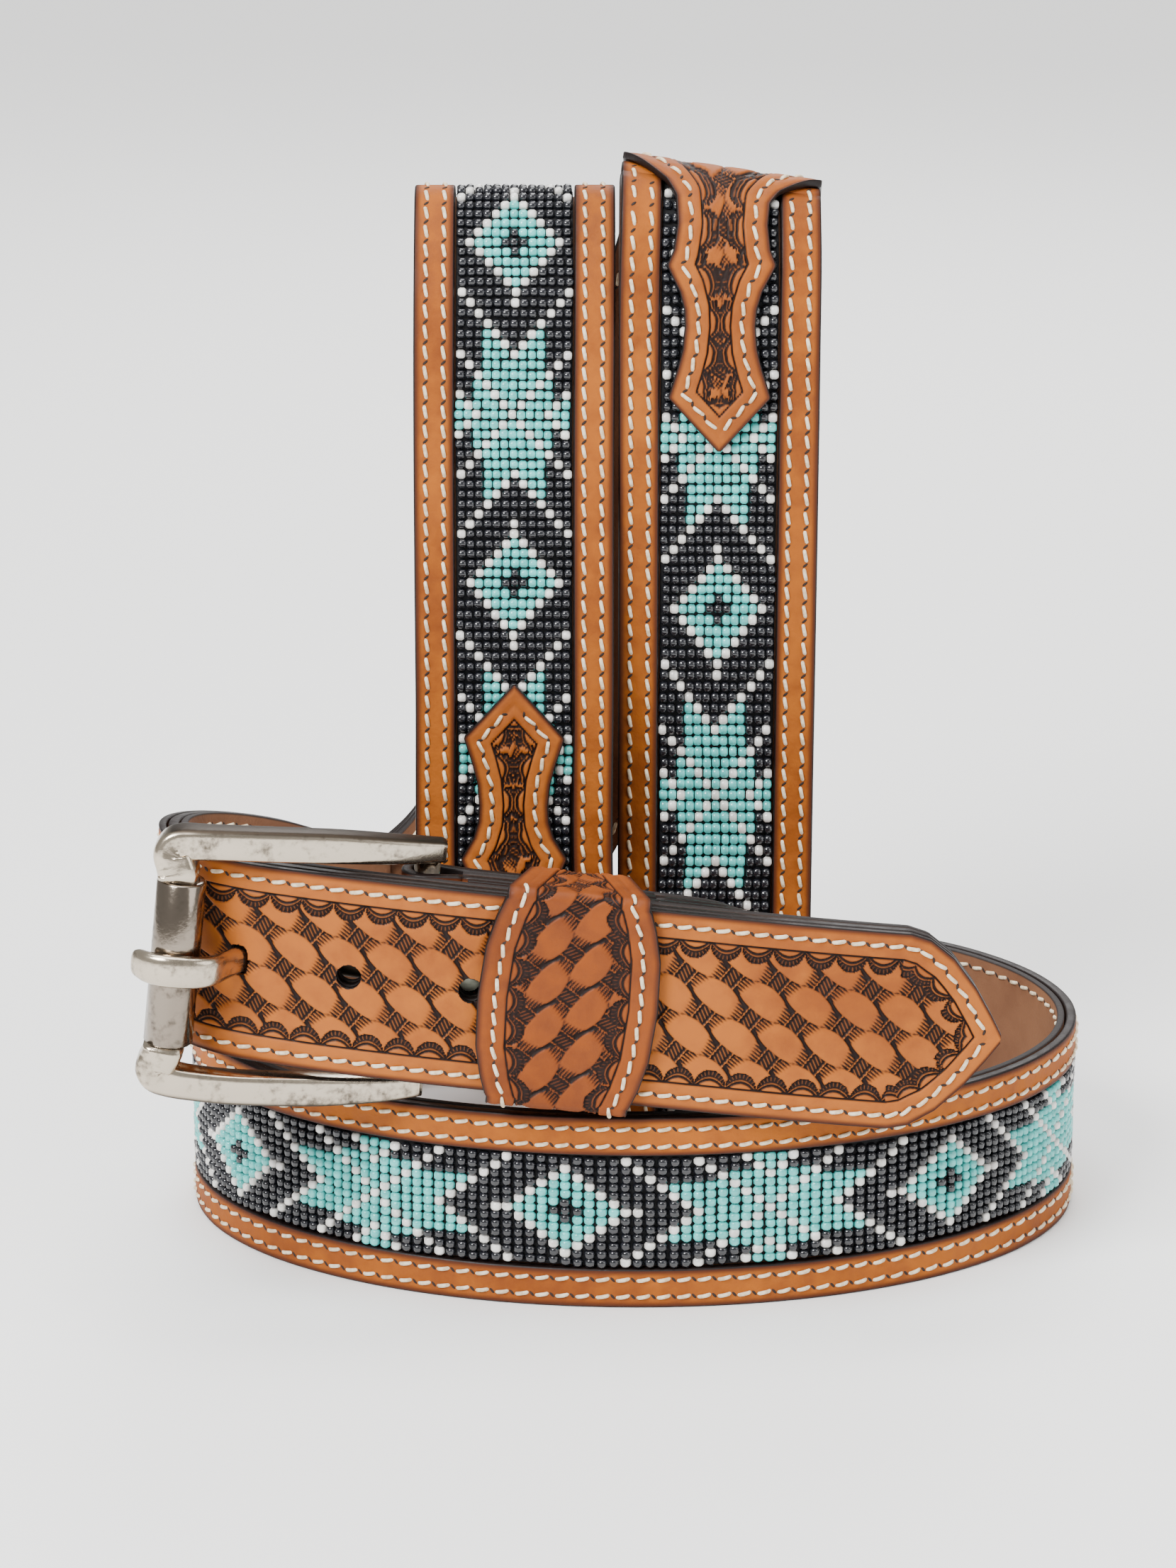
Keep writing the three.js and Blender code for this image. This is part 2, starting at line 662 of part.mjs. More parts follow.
// Buckle frame: two bowed arms, end posts with an axle at the roller, and the heel bar
const armMiddle = (BUCKLE_OPENING + ARM_HEIGHT) / 2;
const ARM_PATH = [
  { left: -0.06, bow: 0.0, height: 0.85 },
  { left: 0.12, bow: 0.32, height: 0.95 },
  { left: 0.4, bow: 0.66, height: 1.04 },
  { left: 0.7, bow: 0.94, height: 1.04 },
  { left: 0.92, bow: 1.02, height: 1.0 },
  { left: 1.06, bow: 0.96, height: 0.86 },
  { left: 1.12, bow: 0.9, height: 0.6 },
];
function armShape(sign) {
  const positions = [];
  for (const row of ARM_PATH) {
    const back = row.bow * rollerBack;
    const thick = ARM_THICKNESS / 2;
    const outer = armMiddle + (ARM_HEIGHT * row.height) / 2;
    const inner = armMiddle - ARM_HEIGHT / 2;
    const corners = [
      [back - thick, inner + 0.8],
      [back - thick * 0.6, inner],
      [back + thick, inner],
      [back + thick, outer],
      [back - thick * 0.3, outer],
      [back - thick, outer - 1.4],
    ];
    for (const [y, z] of corners) {
      const q = bucklePoint(row.left * BUCKLE_LENGTH, y, sign * z);
      positions.push(q.x, q.y, q.z);
    }
  }
  return outwardSolid(closedTube(positions, 6, ARM_PATH.length));
}
function postShape(sign) {
  const length = armMiddle - ROLLER_LENGTH / 2 - LAYER_GAP;
  const post = new THREE.CylinderGeometry(ROLLER_RADIUS * 0.93, ROLLER_RADIUS * 0.93, length, 16);
  post.rotateX(Math.PI / 2);
  post.rotateY(BILLET_SLOPE);
  const middle = bucklePoint(BUCKLE_LENGTH, rollerBack, sign * (armMiddle - length / 2));
  post.translate(middle.x, middle.y, middle.z);
  return solid(post);
}
const AXLE_RADIUS = ROLLER_RADIUS - ROLLER_WALL - LAYER_GAP;
const frame = armShape(1)
  .add(armShape(-1))
  .add(postShape(1))
  .add(postShape(-1))
  .add(
    solid(
      bar(
        bucklePoint(BUCKLE_LENGTH, rollerBack, -armMiddle),
        bucklePoint(BUCKLE_LENGTH, rollerBack, armMiddle),
        AXLE_RADIUS,
        12,
      ),
    ),
  )
  .add(
    solid(bar(bucklePoint(0, 0, -armMiddle), bucklePoint(0, 0, armMiddle), HEEL_BAR_RADIUS, 16)),
  );
addPiece("buckle_frame", geometryOf(frame), material(0x8f8779, 0.35, 1));

// Roller: a loose tube on the axle
const rollerEnd = ROLLER_LENGTH / 2;
const roller = solid(
  bar(
    bucklePoint(BUCKLE_LENGTH, rollerBack, -rollerEnd),
    bucklePoint(BUCKLE_LENGTH, rollerBack, rollerEnd),
    ROLLER_RADIUS,
    20,
  ),
).subtract(
  solid(
    bar(
      bucklePoint(BUCKLE_LENGTH, rollerBack, -rollerEnd - 1),
      bucklePoint(BUCKLE_LENGTH, rollerBack, rollerEnd + 1),
      ROLLER_RADIUS - ROLLER_WALL,
      20,
    ),
  ),
);
addPiece("roller", geometryOf(roller), material(0x6f685d, 0.35, 1));
addPiece("prong", geometryOf(prong), material(0x9a9284, 0.35, 1));

// Screw that holds the folded end: a post through the layers with a flat head behind
const screw = solid(
  bar(screwAxis(screwFront), screwAxis(screwBack + LAYER_GAP), SCREW_RADIUS, 12),
).add(
  solid(
    bar(
      screwAxis(screwBack + LAYER_GAP),
      screwAxis(screwBack + LAYER_GAP + SCREW_HEAD_THICKNESS),
      SCREW_HEAD_RADIUS,
      16,
    ),
  ),
);
addPiece("chape_screw", geometryOf(screw), material(0x8f8b7c, 0.4, 1));

// Keeper: a leather loop round the billet and the chape, widest in the middle of its front
const keeperIn = {
  front: billetY - overlayTop - LAYER_GAP,
  back: chapeY - liningBottom + LAYER_GAP,
  half: STRAP_WIDTH / 2 + LAYER_GAP,
};
const KEEPER_LOOP = [
  { up: 0, depth: 0, width: 1 },
  { up: 0.5, depth: 0, width: 0.93 },
  { up: 0.8, depth: 0, width: 0.76 },
  { up: 0.985, depth: 0, width: 0.6 },
  { up: 1, depth: 0.025, width: 0.56 },
  { up: 1, depth: 0.975, width: 0.1 },
  { up: 0.985, depth: 1, width: 0 },
  { up: -0.985, depth: 1, width: 0 },
  { up: -1, depth: 0.975, width: 0.1 },
  { up: -1, depth: 0.025, width: 0.56 },
  { up: -0.985, depth: 0, width: 0.6 },
  { up: -0.8, depth: 0, width: 0.76 },
  { up: -0.5, depth: 0, width: 0.93 },
];
function keeperShape(grow) {
  const depthMiddle = (keeperIn.front + keeperIn.back) / 2;
  const depthHalf = (keeperIn.back - keeperIn.front) / 2 + grow;
  return KEEPER_LOOP.map((row) => {
    const half = (KEEPER_WIDTH_BACK + row.width * (KEEPER_WIDTH_FRONT - KEEPER_WIDTH_BACK)) / 2;
    return {
      half,
      up: row.up * (keeperIn.half + grow),
      y: depthMiddle + (row.depth * 2 - 1) * depthHalf,
    };
  });
}
function keeperGeometry() {
  const inner = keeperShape(0);
  const outer = keeperShape(KEEPER_THICKNESS);
  const middle = new THREE.Vector3(KEEPER_X, 0, slopeHeight(KEEPER_X));
  const positions = [];
  inner.forEach((a, i) => {
    const b = outer[i];
    for (const [row, side] of [[a, -1], [a, 1], [b, 1], [b, -1]]) {
      const p = middle.clone().addScaledVector(slopeLeft, side * row.half)
        .addScaledVector(slopeUp, row.up);
      positions.push(p.x, row.y, p.z);
    }
  });
  const index = [];
  const rings = inner.length;
  for (let i = 0; i < rings; i++) {
    const next = (i + 1) % rings;
    for (let k = 0; k < 4; k++) {
      const l = (k + 1) % 4;
      index.push(i * 4 + k, i * 4 + l, next * 4 + l, i * 4 + k, next * 4 + l, next * 4 + k);
    }
  }
  return indexed(positions, index);
}
addPiece("keeper", geometryOf(outwardSolid(keeperGeometry())), material(0xa9652d, 0.5, 0));

// The origin is moved to the middle of the belt's footprint
const footprint = new THREE.Box3().setFromObject(belt).getCenter(new THREE.Vector3());
for (const mesh of belt.children) {
  mesh.geometry.translate(-footprint.x, -footprint.y, 0);
  mesh.geometry.computeVertexNormals();
}
export default belt;
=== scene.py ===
import math

import bmesh
import bpy
import numpy as np
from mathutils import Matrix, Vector
from mathutils.kdtree import KDTree


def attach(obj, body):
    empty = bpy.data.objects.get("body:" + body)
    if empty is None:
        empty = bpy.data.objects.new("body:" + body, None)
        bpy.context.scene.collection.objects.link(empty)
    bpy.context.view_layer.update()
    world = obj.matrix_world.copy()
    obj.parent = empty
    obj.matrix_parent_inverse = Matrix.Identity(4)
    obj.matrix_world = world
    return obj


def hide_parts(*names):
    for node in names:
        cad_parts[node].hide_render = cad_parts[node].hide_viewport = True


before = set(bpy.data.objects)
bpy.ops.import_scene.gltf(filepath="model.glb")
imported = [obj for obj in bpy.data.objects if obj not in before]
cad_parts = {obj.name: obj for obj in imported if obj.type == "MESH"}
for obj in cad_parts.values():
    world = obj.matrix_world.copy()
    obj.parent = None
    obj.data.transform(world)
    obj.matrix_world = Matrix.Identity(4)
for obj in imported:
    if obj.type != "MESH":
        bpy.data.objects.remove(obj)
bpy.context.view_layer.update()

# The strap's way through the fastened belt: from the heel bar, up and over the left fold, once round
# the ring, up and over the right fold, back through the left fold, round behind the roller and out to
# the billet's point. It lies in the gap between the lining and the outer leather.
MM = 0.001
STRAP_WIDTH = 38.0
LAYER_GAP = 0.3
LINING_THICKNESS = 1.4
LEATHER_THICKNESS = 2.0
OVERLAY_THICKNESS = 1.5
FOOTPRINT_CENTRE = (-2.8596535, -11.1896725)
CENTRE_X = -3.6
STANDING_DEPTH = 66.0
UPRIGHT_HEIGHT = 200.0
RING_WIDTH, RING_DEPTH, RING_CENTRE_Y = 84.5, 57.0, -10.0
SLOPE = math.radians(6.2)
LINING_LOW, LINING_HIGH = -LAYER_GAP / 2 - LINING_THICKNESS, -LAYER_GAP / 2
BAND_LOW, BAND_HIGH = LAYER_GAP / 2, LAYER_GAP / 2 + LEATHER_THICKNESS
OVERLAY_LOW = BAND_HIGH + LAYER_GAP
OVERLAY_HIGH = OVERLAY_LOW + OVERLAY_THICKNESS
BILLET_Y = -1.03 * STANDING_DEPTH
CHAPE_Y = BILLET_Y - LINING_LOW + LAYER_GAP + OVERLAY_HIGH
HEEL_BAR_X = -40.2
# columns: x in strap widths from the uprights' middle, y in standing depths, z in upright heights, and
# the turn and lift of the face in degrees
CHAPE_ROWS = [-0.31, 0.07]
LEFT_ROWS = [
    (0.34, -0.885, 0.287, 32, 0), (0.49, -0.735, 0.256, 84, 4), (0.4, -0.56, 0.218, 117, 22),
    (0.163, -0.424, 0.18, 135, 60), (-0.126, -0.333, 0.16, 110, 84), (-0.345, -0.258, 0.18, 40, 49),
    (-0.475, -0.205, 0.235, 15, 17), (-0.511, -0.182, 0.32, 0, 0), (-0.511, -0.165, 0.524, 0, 0),
    (-0.511, -0.12, 0.75, 0, 0), (-0.506, -0.06, 0.9, 0, 12), (-0.508, 0.13, 0.975, 0, 88),
    (-0.515, 0.37, 0.91, 180, 15), (-0.49, 0.4, 0.74, 180, 0), (-0.47, 0.43, 0.575, 180, 0),
    (-0.45, 0.475, 0.425, -160, 0), (-0.4, 0.51, 0.29, -125, 0), (-0.37, 0.535, 0.165, -96, 8),
    (-0.54, 0.565, 0.075, -97, 50), (-0.83, 0.575, 0.058, -140, 74), (-1.12, 0.555, 0.079, -148, 46),
    (-1.4, 0.48, 0.0955, -139, 16),
]
RIGHT_ROWS = [
    (1.05, 0.66, 0.095, 173, 0), (0.7, 0.69, 0.095, -168, 0), (0.45, 0.64, 0.096, -141, 0),
    (0.32, 0.53, 0.097, -105, -5), (0.325, 0.4, 0.091, -88, -30), (0.4, 0.275, 0.065, -76, -60),
    (0.49, 0.145, 0.039, -30, -82), (0.511, 0.025, 0.054, 0, -38), (0.511, -0.01, 0.13, 0, -4),
    (0.511, -0.01, 0.22, 0, 0), (0.511, -0.03, 0.375, 0, 0), (0.511, -0.076, 0.575, 0, 0),
    (0.511, -0.1, 0.75, 0, 0), (0.511, -0.1, 0.86, 0, 0), (0.511, -0.085, 0.925, 4, 10),
    (0.511, -0.03, 0.97, 12, 48), (0.514, 0.075, 0.988, 90, 82), (0.518, 0.18, 0.97, 168, 48),
    (0.515, 0.235, 0.925, 176, 10), (0.34, 0.235, 0.81, 178, 0), (0.137, 0.2, 0.665, 180, 0),
    (-0.1, 0.16, 0.52, 180, 0), (-0.39, 0.11, 0.39, -178, 0), (-0.73, 0.045, 0.295, -172, 0),
    (-1.13, -0.05, 0.252, -162, 0), (-1.5, -0.17, 0.27, -148, 0), (-1.79, -0.32, 0.303, -129, 0),
    (-2.025, -0.515, 0.33, -106, 0), (-2.12, -0.7, 0.345, -88, 0), (-2.095, -0.82, 0.348, -66, 0),
]
# columns: x and y as above, and the turn of the face
BILLET_ROWS = [
    (-2.005, 0.885, -43), (-1.825, 0.943, -19), (-1.52, 0.977, -7), (-0.968, 1, 0),
    (0.084, 1, 0), (0.96, 0.993, 3), (1.845, 0.955, 8),
]
LEFT_POINT_ROW, RIGHT_POINT_ROW = 8, 12
RING_TURNS, RING_ROWS = (149, 413), 17


def slope_z(x):
    return 0.3045 * UPRIGHT_HEIGHT - (x - CENTRE_X) * math.tan(SLOPE)


def face_way(turn, lift):
    t, l = math.radians(turn), math.radians(lift)
    return [math.sin(t) * math.cos(l), -math.cos(t) * math.cos(l), math.sin(l)]


def way_rows():
    at, face = [], []

    def on_slope(x, y, turn):
        at.append([x, y, slope_z(x)])
        face.append(face_way(turn, 0))

    def standing(rows):
        for x, y, z, turn, lift in rows:
            at.append([CENTRE_X + x * STRAP_WIDTH, y * STANDING_DEPTH, z * UPRIGHT_HEIGHT])
            face.append(face_way(turn, lift))

    on_slope(HEEL_BAR_X, CHAPE_Y, 0)
    for x in CHAPE_ROWS:
        on_slope(CENTRE_X + x * STRAP_WIDTH, CHAPE_Y, 0)
    left_point = len(at) + LEFT_POINT_ROW
    standing(LEFT_ROWS)
    for turn in np.radians(np.linspace(*RING_TURNS, RING_ROWS)):
        c, s = math.cos(turn), math.sin(turn)
        at.append([RING_WIDTH * c, RING_CENTRE_Y + RING_DEPTH * s, STRAP_WIDTH / 2])
        face.append(list(Vector((RING_DEPTH * c, RING_WIDTH * s, 0)).normalized()))
    right_point = len(at) + RIGHT_POINT_ROW
    standing(RIGHT_ROWS)
    for x, y, turn in BILLET_ROWS:
        on_slope(CENTRE_X + x * STRAP_WIDTH, y * BILLET_Y, turn)
    return np.array(at), np.array(face), left_point, right_point


def smooth_line(rows, steps, centripetal):
    ends = np.vstack([2 * rows[0] - rows[1], rows, 2 * rows[-1] - rows[-2]])
    t = np.linspace(0, 1, steps, endpoint=False)[:, None]
    pieces = []
    for i in range(len(rows) - 1):
        p0, p1, p2, p3 = ends[i : i + 4]
        pairs = ((p0, p1), (p1, p2), (p2, p3))
        d0, d1, d2 = (np.linalg.norm(b - a) ** 0.5 if centripetal else 1.0 for a, b in pairs)
        m1 = ((p1 - p0) / d0 - (p2 - p0) / (d0 + d1) + (p2 - p1) / d1) * d1
        m2 = ((p2 - p1) / d1 - (p3 - p1) / (d1 + d2) + (p3 - p2) / d2) * d1
        c2, c3 = -3 * p1 + 3 * p2 - 2 * m1 - m2, 2 * p1 - 2 * p2 + m1 + m2
        pieces.append(p1 + t * (m1 + t * (c2 + t * c3)))
    return np.vstack(pieces + [rows[-1:]])


WAY_STEPS = 60
row_at, row_face, left_point, right_point = way_rows()
way_at = smooth_line(row_at, WAY_STEPS, True) - np.array([*FOOTPRINT_CENTRE, 0])
way_face = smooth_line(row_face, WAY_STEPS, False)
way_length = np.concatenate([[0], np.cumsum(np.linalg.norm(np.diff(way_at, axis=0), axis=1))])
way_along = np.gradient(way_at, way_length, axis=0)
LENGTH = way_length[-1]
CHAPE_POINT = way_length[left_point * WAY_STEPS]
BILLET_POINT = way_length[right_point * WAY_STEPS]


def unit(v):
    return v / np.linalg.norm(v, axis=1, keepdims=True)


def on_way(distance):
    """Place, way along, face and side of the strap at each distance."""

    def found(line):
        return np.stack([np.interp(distance, way_length, column) for column in line.T], 1)

    along, face = unit(found(way_along)), found(way_face)
    face = unit(face - along * np.sum(face * along, axis=1, keepdims=True))
    return found(way_at), along, face, np.cross(face, along)


def lay(distance, across, height):
    at, _, face, side = on_way(distance)
    return at + side * np.reshape(across, (-1, 1)) + face * np.reshape(height, (-1, 1))


# Lining: one long strip of thin split leather under the whole strap, cut to the strap's outline and
# sewn to it along both edges. Its rims are closed by the same dark edge paint.
POINT_LENGTH = 19.0
POINT_SHAPE = [(0, 1), (0.2, 0.95), (0.45, 0.78), (0.7, 0.5), (0.88, 0.24), (1, 0.05)]


def strap_half(distance):
    reach = (distance - (LENGTH - POINT_LENGTH)) / POINT_LENGTH
    return STRAP_WIDTH / 2 * np.interp(reach, *zip(*POINT_SHAPE))


def placed_object(name, mesh):
    piece = bpy.data.objects.new(name, mesh)
    bpy.context.scene.collection.objects.link(piece)
    return piece


def object_from(name, points, loops, sizes, values):
    mesh = bpy.data.meshes.new(name)
    mesh.vertices.add(len(points))
    mesh.vertices.foreach_set("co", (np.asarray(points) * MM).ravel())
    mesh.loops.add(len(loops))
    mesh.loops.foreach_set("vertex_index", np.asarray(loops, dtype=np.int32))
    mesh.polygons.add(len(sizes))
    starts = np.concatenate([[0], np.cumsum(sizes)[:-1]])
    mesh.polygons.foreach_set("loop_start", starts.astype(np.int32))
    mesh.polygons.foreach_set("use_smooth", np.full(len(sizes), True))
    mesh.update(calc_edges=True)
    for key, data in values.items():
        mesh.attributes.new(key, "FLOAT", "POINT").data.foreach_set("value", np.asarray(data, float))
    mesh.validate()
    return placed_object(name, mesh)


def tube_faces(rings, around, first=0):
    i, k = np.meshgrid(np.arange(rings - 1), np.arange(around), indexing="ij")
    a, b = i * around + k, i * around + (k + 1) % around
    quads = np.stack([a, b, b + around, a + around], -1).reshape(-1) + first
    start = np.arange(around)[::-1] + first
    end = np.arange(around) + (rings - 1) * around + first
    return np.concatenate([quads, start, end]), [4] * ((rings - 1) * around) + [around, around]


def slab(distance, left, right, low, high, columns, rounding=0.45, lift=None, place=lay):
    """Closed strip between two widths: points, loops, face sizes and values."""
    n = len(distance)
    r = min(rounding, (high - low) / 2)
    middle = (left + right) / 2
    reach = np.maximum((right - left) / 2 - r, 0.02)
    across, height, top = [], [], []

    def flat(level, shares, value):
        for s in shares:
            across.append(middle + reach * (2 * s - 1))
            height.append(np.full(n, level))
            top.append(value)

    def corner(side, level, way, degrees, value):
        for c in np.radians(degrees):
            across.append(middle + side * (reach + r * math.sin(c)))
            height.append(np.full(n, level + way * r - way * r * math.cos(c)))
            top.append(value)

    flat(low, np.linspace(0, 1, 7), 0.0)
    corner(1, low, 1, (30, 60, 90), 0.2)
    corner(1, high, -1, (90, 60, 30), 0.6)
    flat(high, np.linspace(0, 1, columns)[::-1], 1.0)
    corner(-1, high, -1, (30, 60, 90), 0.6)
    corner(-1, low, 1, (90, 60, 30), 0.2)
    across, height = np.stack(across, 1), np.stack(height, 1)
    around = across.shape[1]
    tops = np.broadcast_to(np.array(top), (n, around)).reshape(-1)
    d = np.repeat(distance, around)
    v, h = across.reshape(-1), height.reshape(-1)
    rim = np.minimum(v - np.repeat(left, around), np.repeat(right, around) - v)
    values = {"along": d * MM, "across": v * MM, "rim": rim * MM, "top": tops}
    if lift is not None:
        sink, dye = lift(d, v, rim)
        h = h - np.where(tops > 0.9, sink, 0)
        values["dye"] = np.where(tops > 0.9, dye, 0)
    loops, sizes = tube_faces(n, around)
    return place(d, v, h), loops, sizes, values


def joined(name, parts):
    points, loops, sizes, values, first = [], [], [], {}, 0
    for p, l, s, v in parts:
        points.append(p)
        loops.append(np.asarray(l) + first)
        sizes += list(s)
        for key, data in v.items():
            values.setdefault(key, []).append(data)
        first += len(p)
    values = {key: np.concatenate(data) for key, data in values.items()}
    return object_from(name, np.vstack(points), np.concatenate(loops), sizes, values)


def coat(piece, material):
    piece.data.materials.clear()
    piece.data.materials.append(material)


def spaced(start, end, step):
    return np.linspace(start, end, max(int(math.ceil((end - start) / step)), 2) + 1)


def tip_spaced(start, step):
    shoulder = LENGTH - POINT_LENGTH
    return np.concatenate([spaced(start, shoulder, step)[:-1], spaced(shoulder, LENGTH, min(step, 0.7))])


class Wire:
    """A node socket that takes the usual operators, and makes any other node."""

    def __init__(self, tree, socket):
        self.tree, self.socket = tree, socket

    def node(self, kind, sockets=(), **settings):
        made = self.tree.nodes.new(kind)
        stops = settings.pop("stops", None)
        for key, value in settings.items():
            setattr(made, key, value)
        if stops:
            ramp = made.color_ramp
            while len(ramp.elements) < len(stops):
                ramp.elements.new(0.5)
            for element, (place, colour) in zip(ramp.elements, stops):
                element.position, element.color = place, colour
        for key, value in dict(sockets).items():
            if isinstance(value, Wire):
                self.tree.links.new(value.socket, made.inputs[key])
            else:
                made.inputs[key].default_value = value
        return made

    def out(self, kind, output=0, sockets=(), **settings):
        return Wire(self.tree, self.node(kind, sockets, **settings).outputs[output])

    def maths(self, operation, *others):
        return self.out("ShaderNodeMath", 0, dict(enumerate((self, *others))), operation=operation)

    def __add__(self, other):
        return self.maths("ADD", other)

    def __sub__(self, other):
        return self.maths("SUBTRACT", other)

    def __mul__(self, other):
        return self.maths("MULTIPLY", other)

    def ramp(self, low, high, start=0.0, end=1.0):
        names = {"Value": self, "From Min": low, "From Max": high, "To Min": start, "To Max": end}
        return self.out("ShaderNodeMapRange", 0, names, clamp=True, interpolation_type="SMOOTHSTEP")

    def tint(self, first, second):
        return self.out("ShaderNodeMix", 2, {0: self, 6: first, 7: second}, data_type="RGBA")


def finish(name, colour=(0.5, 0.5, 0.5, 1), **sockets):
    material = bpy.data.materials.new(name)
    material.use_nodes = True
    tree = material.node_tree
    shader = tree.nodes["Principled BSDF"]
    shader.inputs["Base Color"].default_value = colour
    for key, value in sockets.items():
        shader.inputs[key.replace("_", " ")].default_value = value
    return material, shader, Wire(tree, shader.outputs[0])


def feed(shader, wire, key):
    wire.tree.links.new(wire.socket, shader.inputs[key])


def attribute(wire, key):
    return wire.out("ShaderNodeAttribute", "Fac", attribute_name=key)


def cloudy(wire, scale, detail=3.0, roughness=0.55):
    place = wire.out("ShaderNodeTexCoord", "Object")
    names = {"Vector": place, "Scale": scale, "Detail": detail, "Roughness": roughness}
    return wire.out("ShaderNodeTexNoise", 0, names)


def bump(shader, wire, height, strength, distance):
    names = {"Height": height, "Strength": strength, "Distance": distance}
    feed(shader, wire.out("ShaderNodeBump", "Normal", names), "Normal")


EDGE_PAINT = (0.008, 0.004, 0.0035, 1)
LINING_TAN = (0.15, 0.060, 0.027, 1)
LINING_PALE = (0.24, 0.108, 0.050, 1)
lining_leather, shader, wire = finish("lining_leather", Roughness=0.72)
mottle = cloudy(wire, 38.0, 4.0)
body = mottle.ramp(0.3, 0.7).tint(LINING_TAN, LINING_PALE)
rim = attribute(wire, "rim")
feed(shader, rim.ramp(0.0001, 0.0005).tint(EDGE_PAINT, body), "Base Color")
bump(shader, wire, cloudy(wire, 1400.0, 2.0), 0.35, 0.0003)


# Outer leather: tan bridle leather with a long window for the beads. Its buckle end is skived, folded
# round the heel bar over a slot for the prong and held by a screw; its billet end carries the holes.
INLAY_UNDER_CHAPE, INLAY_UNDER_BILLET = 46.0, 50.0
WINDOW_HALF = 11.3
FOLD_RETURN = 17.5
HEEL_BAR_RADIUS = 2.4
FOLD_RADIUS = HEEL_BAR_RADIUS + LAYER_GAP - BAND_LOW
FOLD_BACK_Y = CHAPE_Y - LINING_LOW + LAYER_GAP - BAND_LOW
HEEL_BAR_Y = (CHAPE_Y + FOLD_BACK_Y) / 2
PUNCH_PITCH, PUNCH_RADIUS = 22.2, 2.3
BUCKLE_LENGTH = 43.8
PRONG_WIDTH = 5.2
WINDOW_START = CHAPE_POINT - INLAY_UNDER_CHAPE
WINDOW_END = BILLET_POINT + INLAY_UNDER_BILLET
FRAME_SHIFT = np.array([*FOOTPRINT_CENTRE, 0])
slope_left = np.array([-math.cos(SLOPE), 0, math.sin(SLOPE)])
slope_up = np.array([math.sin(SLOPE), 0, math.cos(SLOPE)])
heel_bar = np.array([HEEL_BAR_X, HEEL_BAR_Y, slope_z(HEEL_BAR_X)]) - FRAME_SHIFT


def buckle_point(left, back, up):
    left, back, up = np.broadcast_arrays(*np.atleast_1d(left, back, up))
    way = np.array([0, 1, 0])
    return heel_bar + np.outer(left, slope_left) + np.outer(back, way) + np.outer(up, slope_up)


def fold_way():
    rows = [(FOLD_RETURN, FOLD_BACK_Y, 180), (FOLD_RADIUS + 6, FOLD_BACK_Y, 180)]
    rows.append((FOLD_RADIUS, (FOLD_BACK_Y + HEEL_BAR_Y + FOLD_RADIUS) / 2, 187))
    for angle in range(90, 271, 12):
        a = math.radians(angle)
        rows.append((FOLD_RADIUS * math.cos(a), HEEL_BAR_Y + FOLD_RADIUS * math.sin(a), angle + 90))
    rows.append((FOLD_RADIUS + 4, CHAPE_Y, 360))
    return np.array(rows, float)


fold_rows = fold_way()
fold_length = np.concatenate([[0], np.cumsum(np.linalg.norm(np.diff(fold_rows[:, :2], axis=0), axis=1))])


def lay_fold(distance, across, height):
    x, y, turn = (np.interp(distance, fold_length, fold_rows[:, k]) for k in range(3))
    turn = np.radians(turn)
    z = slope_z(HEEL_BAR_X + x)
    at = np.stack([HEEL_BAR_X + x, y, z], 1) - FRAME_SHIFT
    face = np.stack([np.sin(turn), -np.cos(turn), 0 * turn], 1)
    return at + across[:, None] * slope_up + height[:, None] * face


def cylinder_mesh(start, end, radius, around):
    axis = Vector(end - start)
    turn = Vector((0, 0, 1)).rotation_difference(axis).to_matrix()
    angle = np.linspace(0, 2 * math.pi, around, endpoint=False)
    ring = np.stack([np.cos(angle), np.sin(angle), 0 * angle], 1) * radius @ np.array(turn).T
    loops, sizes = tube_faces(2, around)
    return np.vstack([start + ring, end + ring]), loops, sizes, {}


def round_tube(path, half_up, half_out, up, around=20, power=2.6):
    """Closed sweep of a softened rectangle along a path, with its flat sides across `up`."""
    along = unit(np.gradient(path, axis=0))
    out = unit(np.cross(along, np.broadcast_to(up, along.shape)))
    high = np.cross(out, along)
    angle = np.linspace(0, 2 * math.pi, around, endpoint=False)
    c, s = np.cos(angle), np.sin(angle)
    a = np.sign(c) * np.abs(c) ** (2 / power)
    b = np.sign(s) * np.abs(s) ** (2 / power)
    points = path[:, None] + out[:, None] * (half_out[:, None] * a)[..., None]
    points = points + high[:, None] * (half_up[:, None] * b)[..., None]
    loops, sizes = tube_faces(len(path), around)
    return points.reshape(-1, 3), loops, sizes, {}


def turned_out(piece):
    shape = bmesh.new()
    shape.from_mesh(piece.data)
    bmesh.ops.recalc_face_normals(shape, faces=shape.faces)
    shape.to_mesh(piece.data)
    shape.free()
    return piece


def small_solid(name, rings):
    loops, sizes = tube_faces(len(rings), len(rings[0]))
    return turned_out(object_from(name, np.vstack(rings), loops, sizes, {}))


def eased(x, low, high):
    t = np.clip((x - low) / (high - low), 0, 1)
    return t * t * (3 - 2 * t)


PRONG_THICKNESS = 2.8
ROLLER_RADIUS, ROLLER_LENGTH = 4.5, 31.4
ROLLER_Y = BILLET_Y + 4.6 - OVERLAY_HIGH - LAYER_GAP - ROLLER_RADIUS + 0.35
on_roller = (HEEL_BAR_Y - (ROLLER_Y - ROLLER_RADIUS) + LAYER_GAP) / PRONG_THICKNESS + 0.5
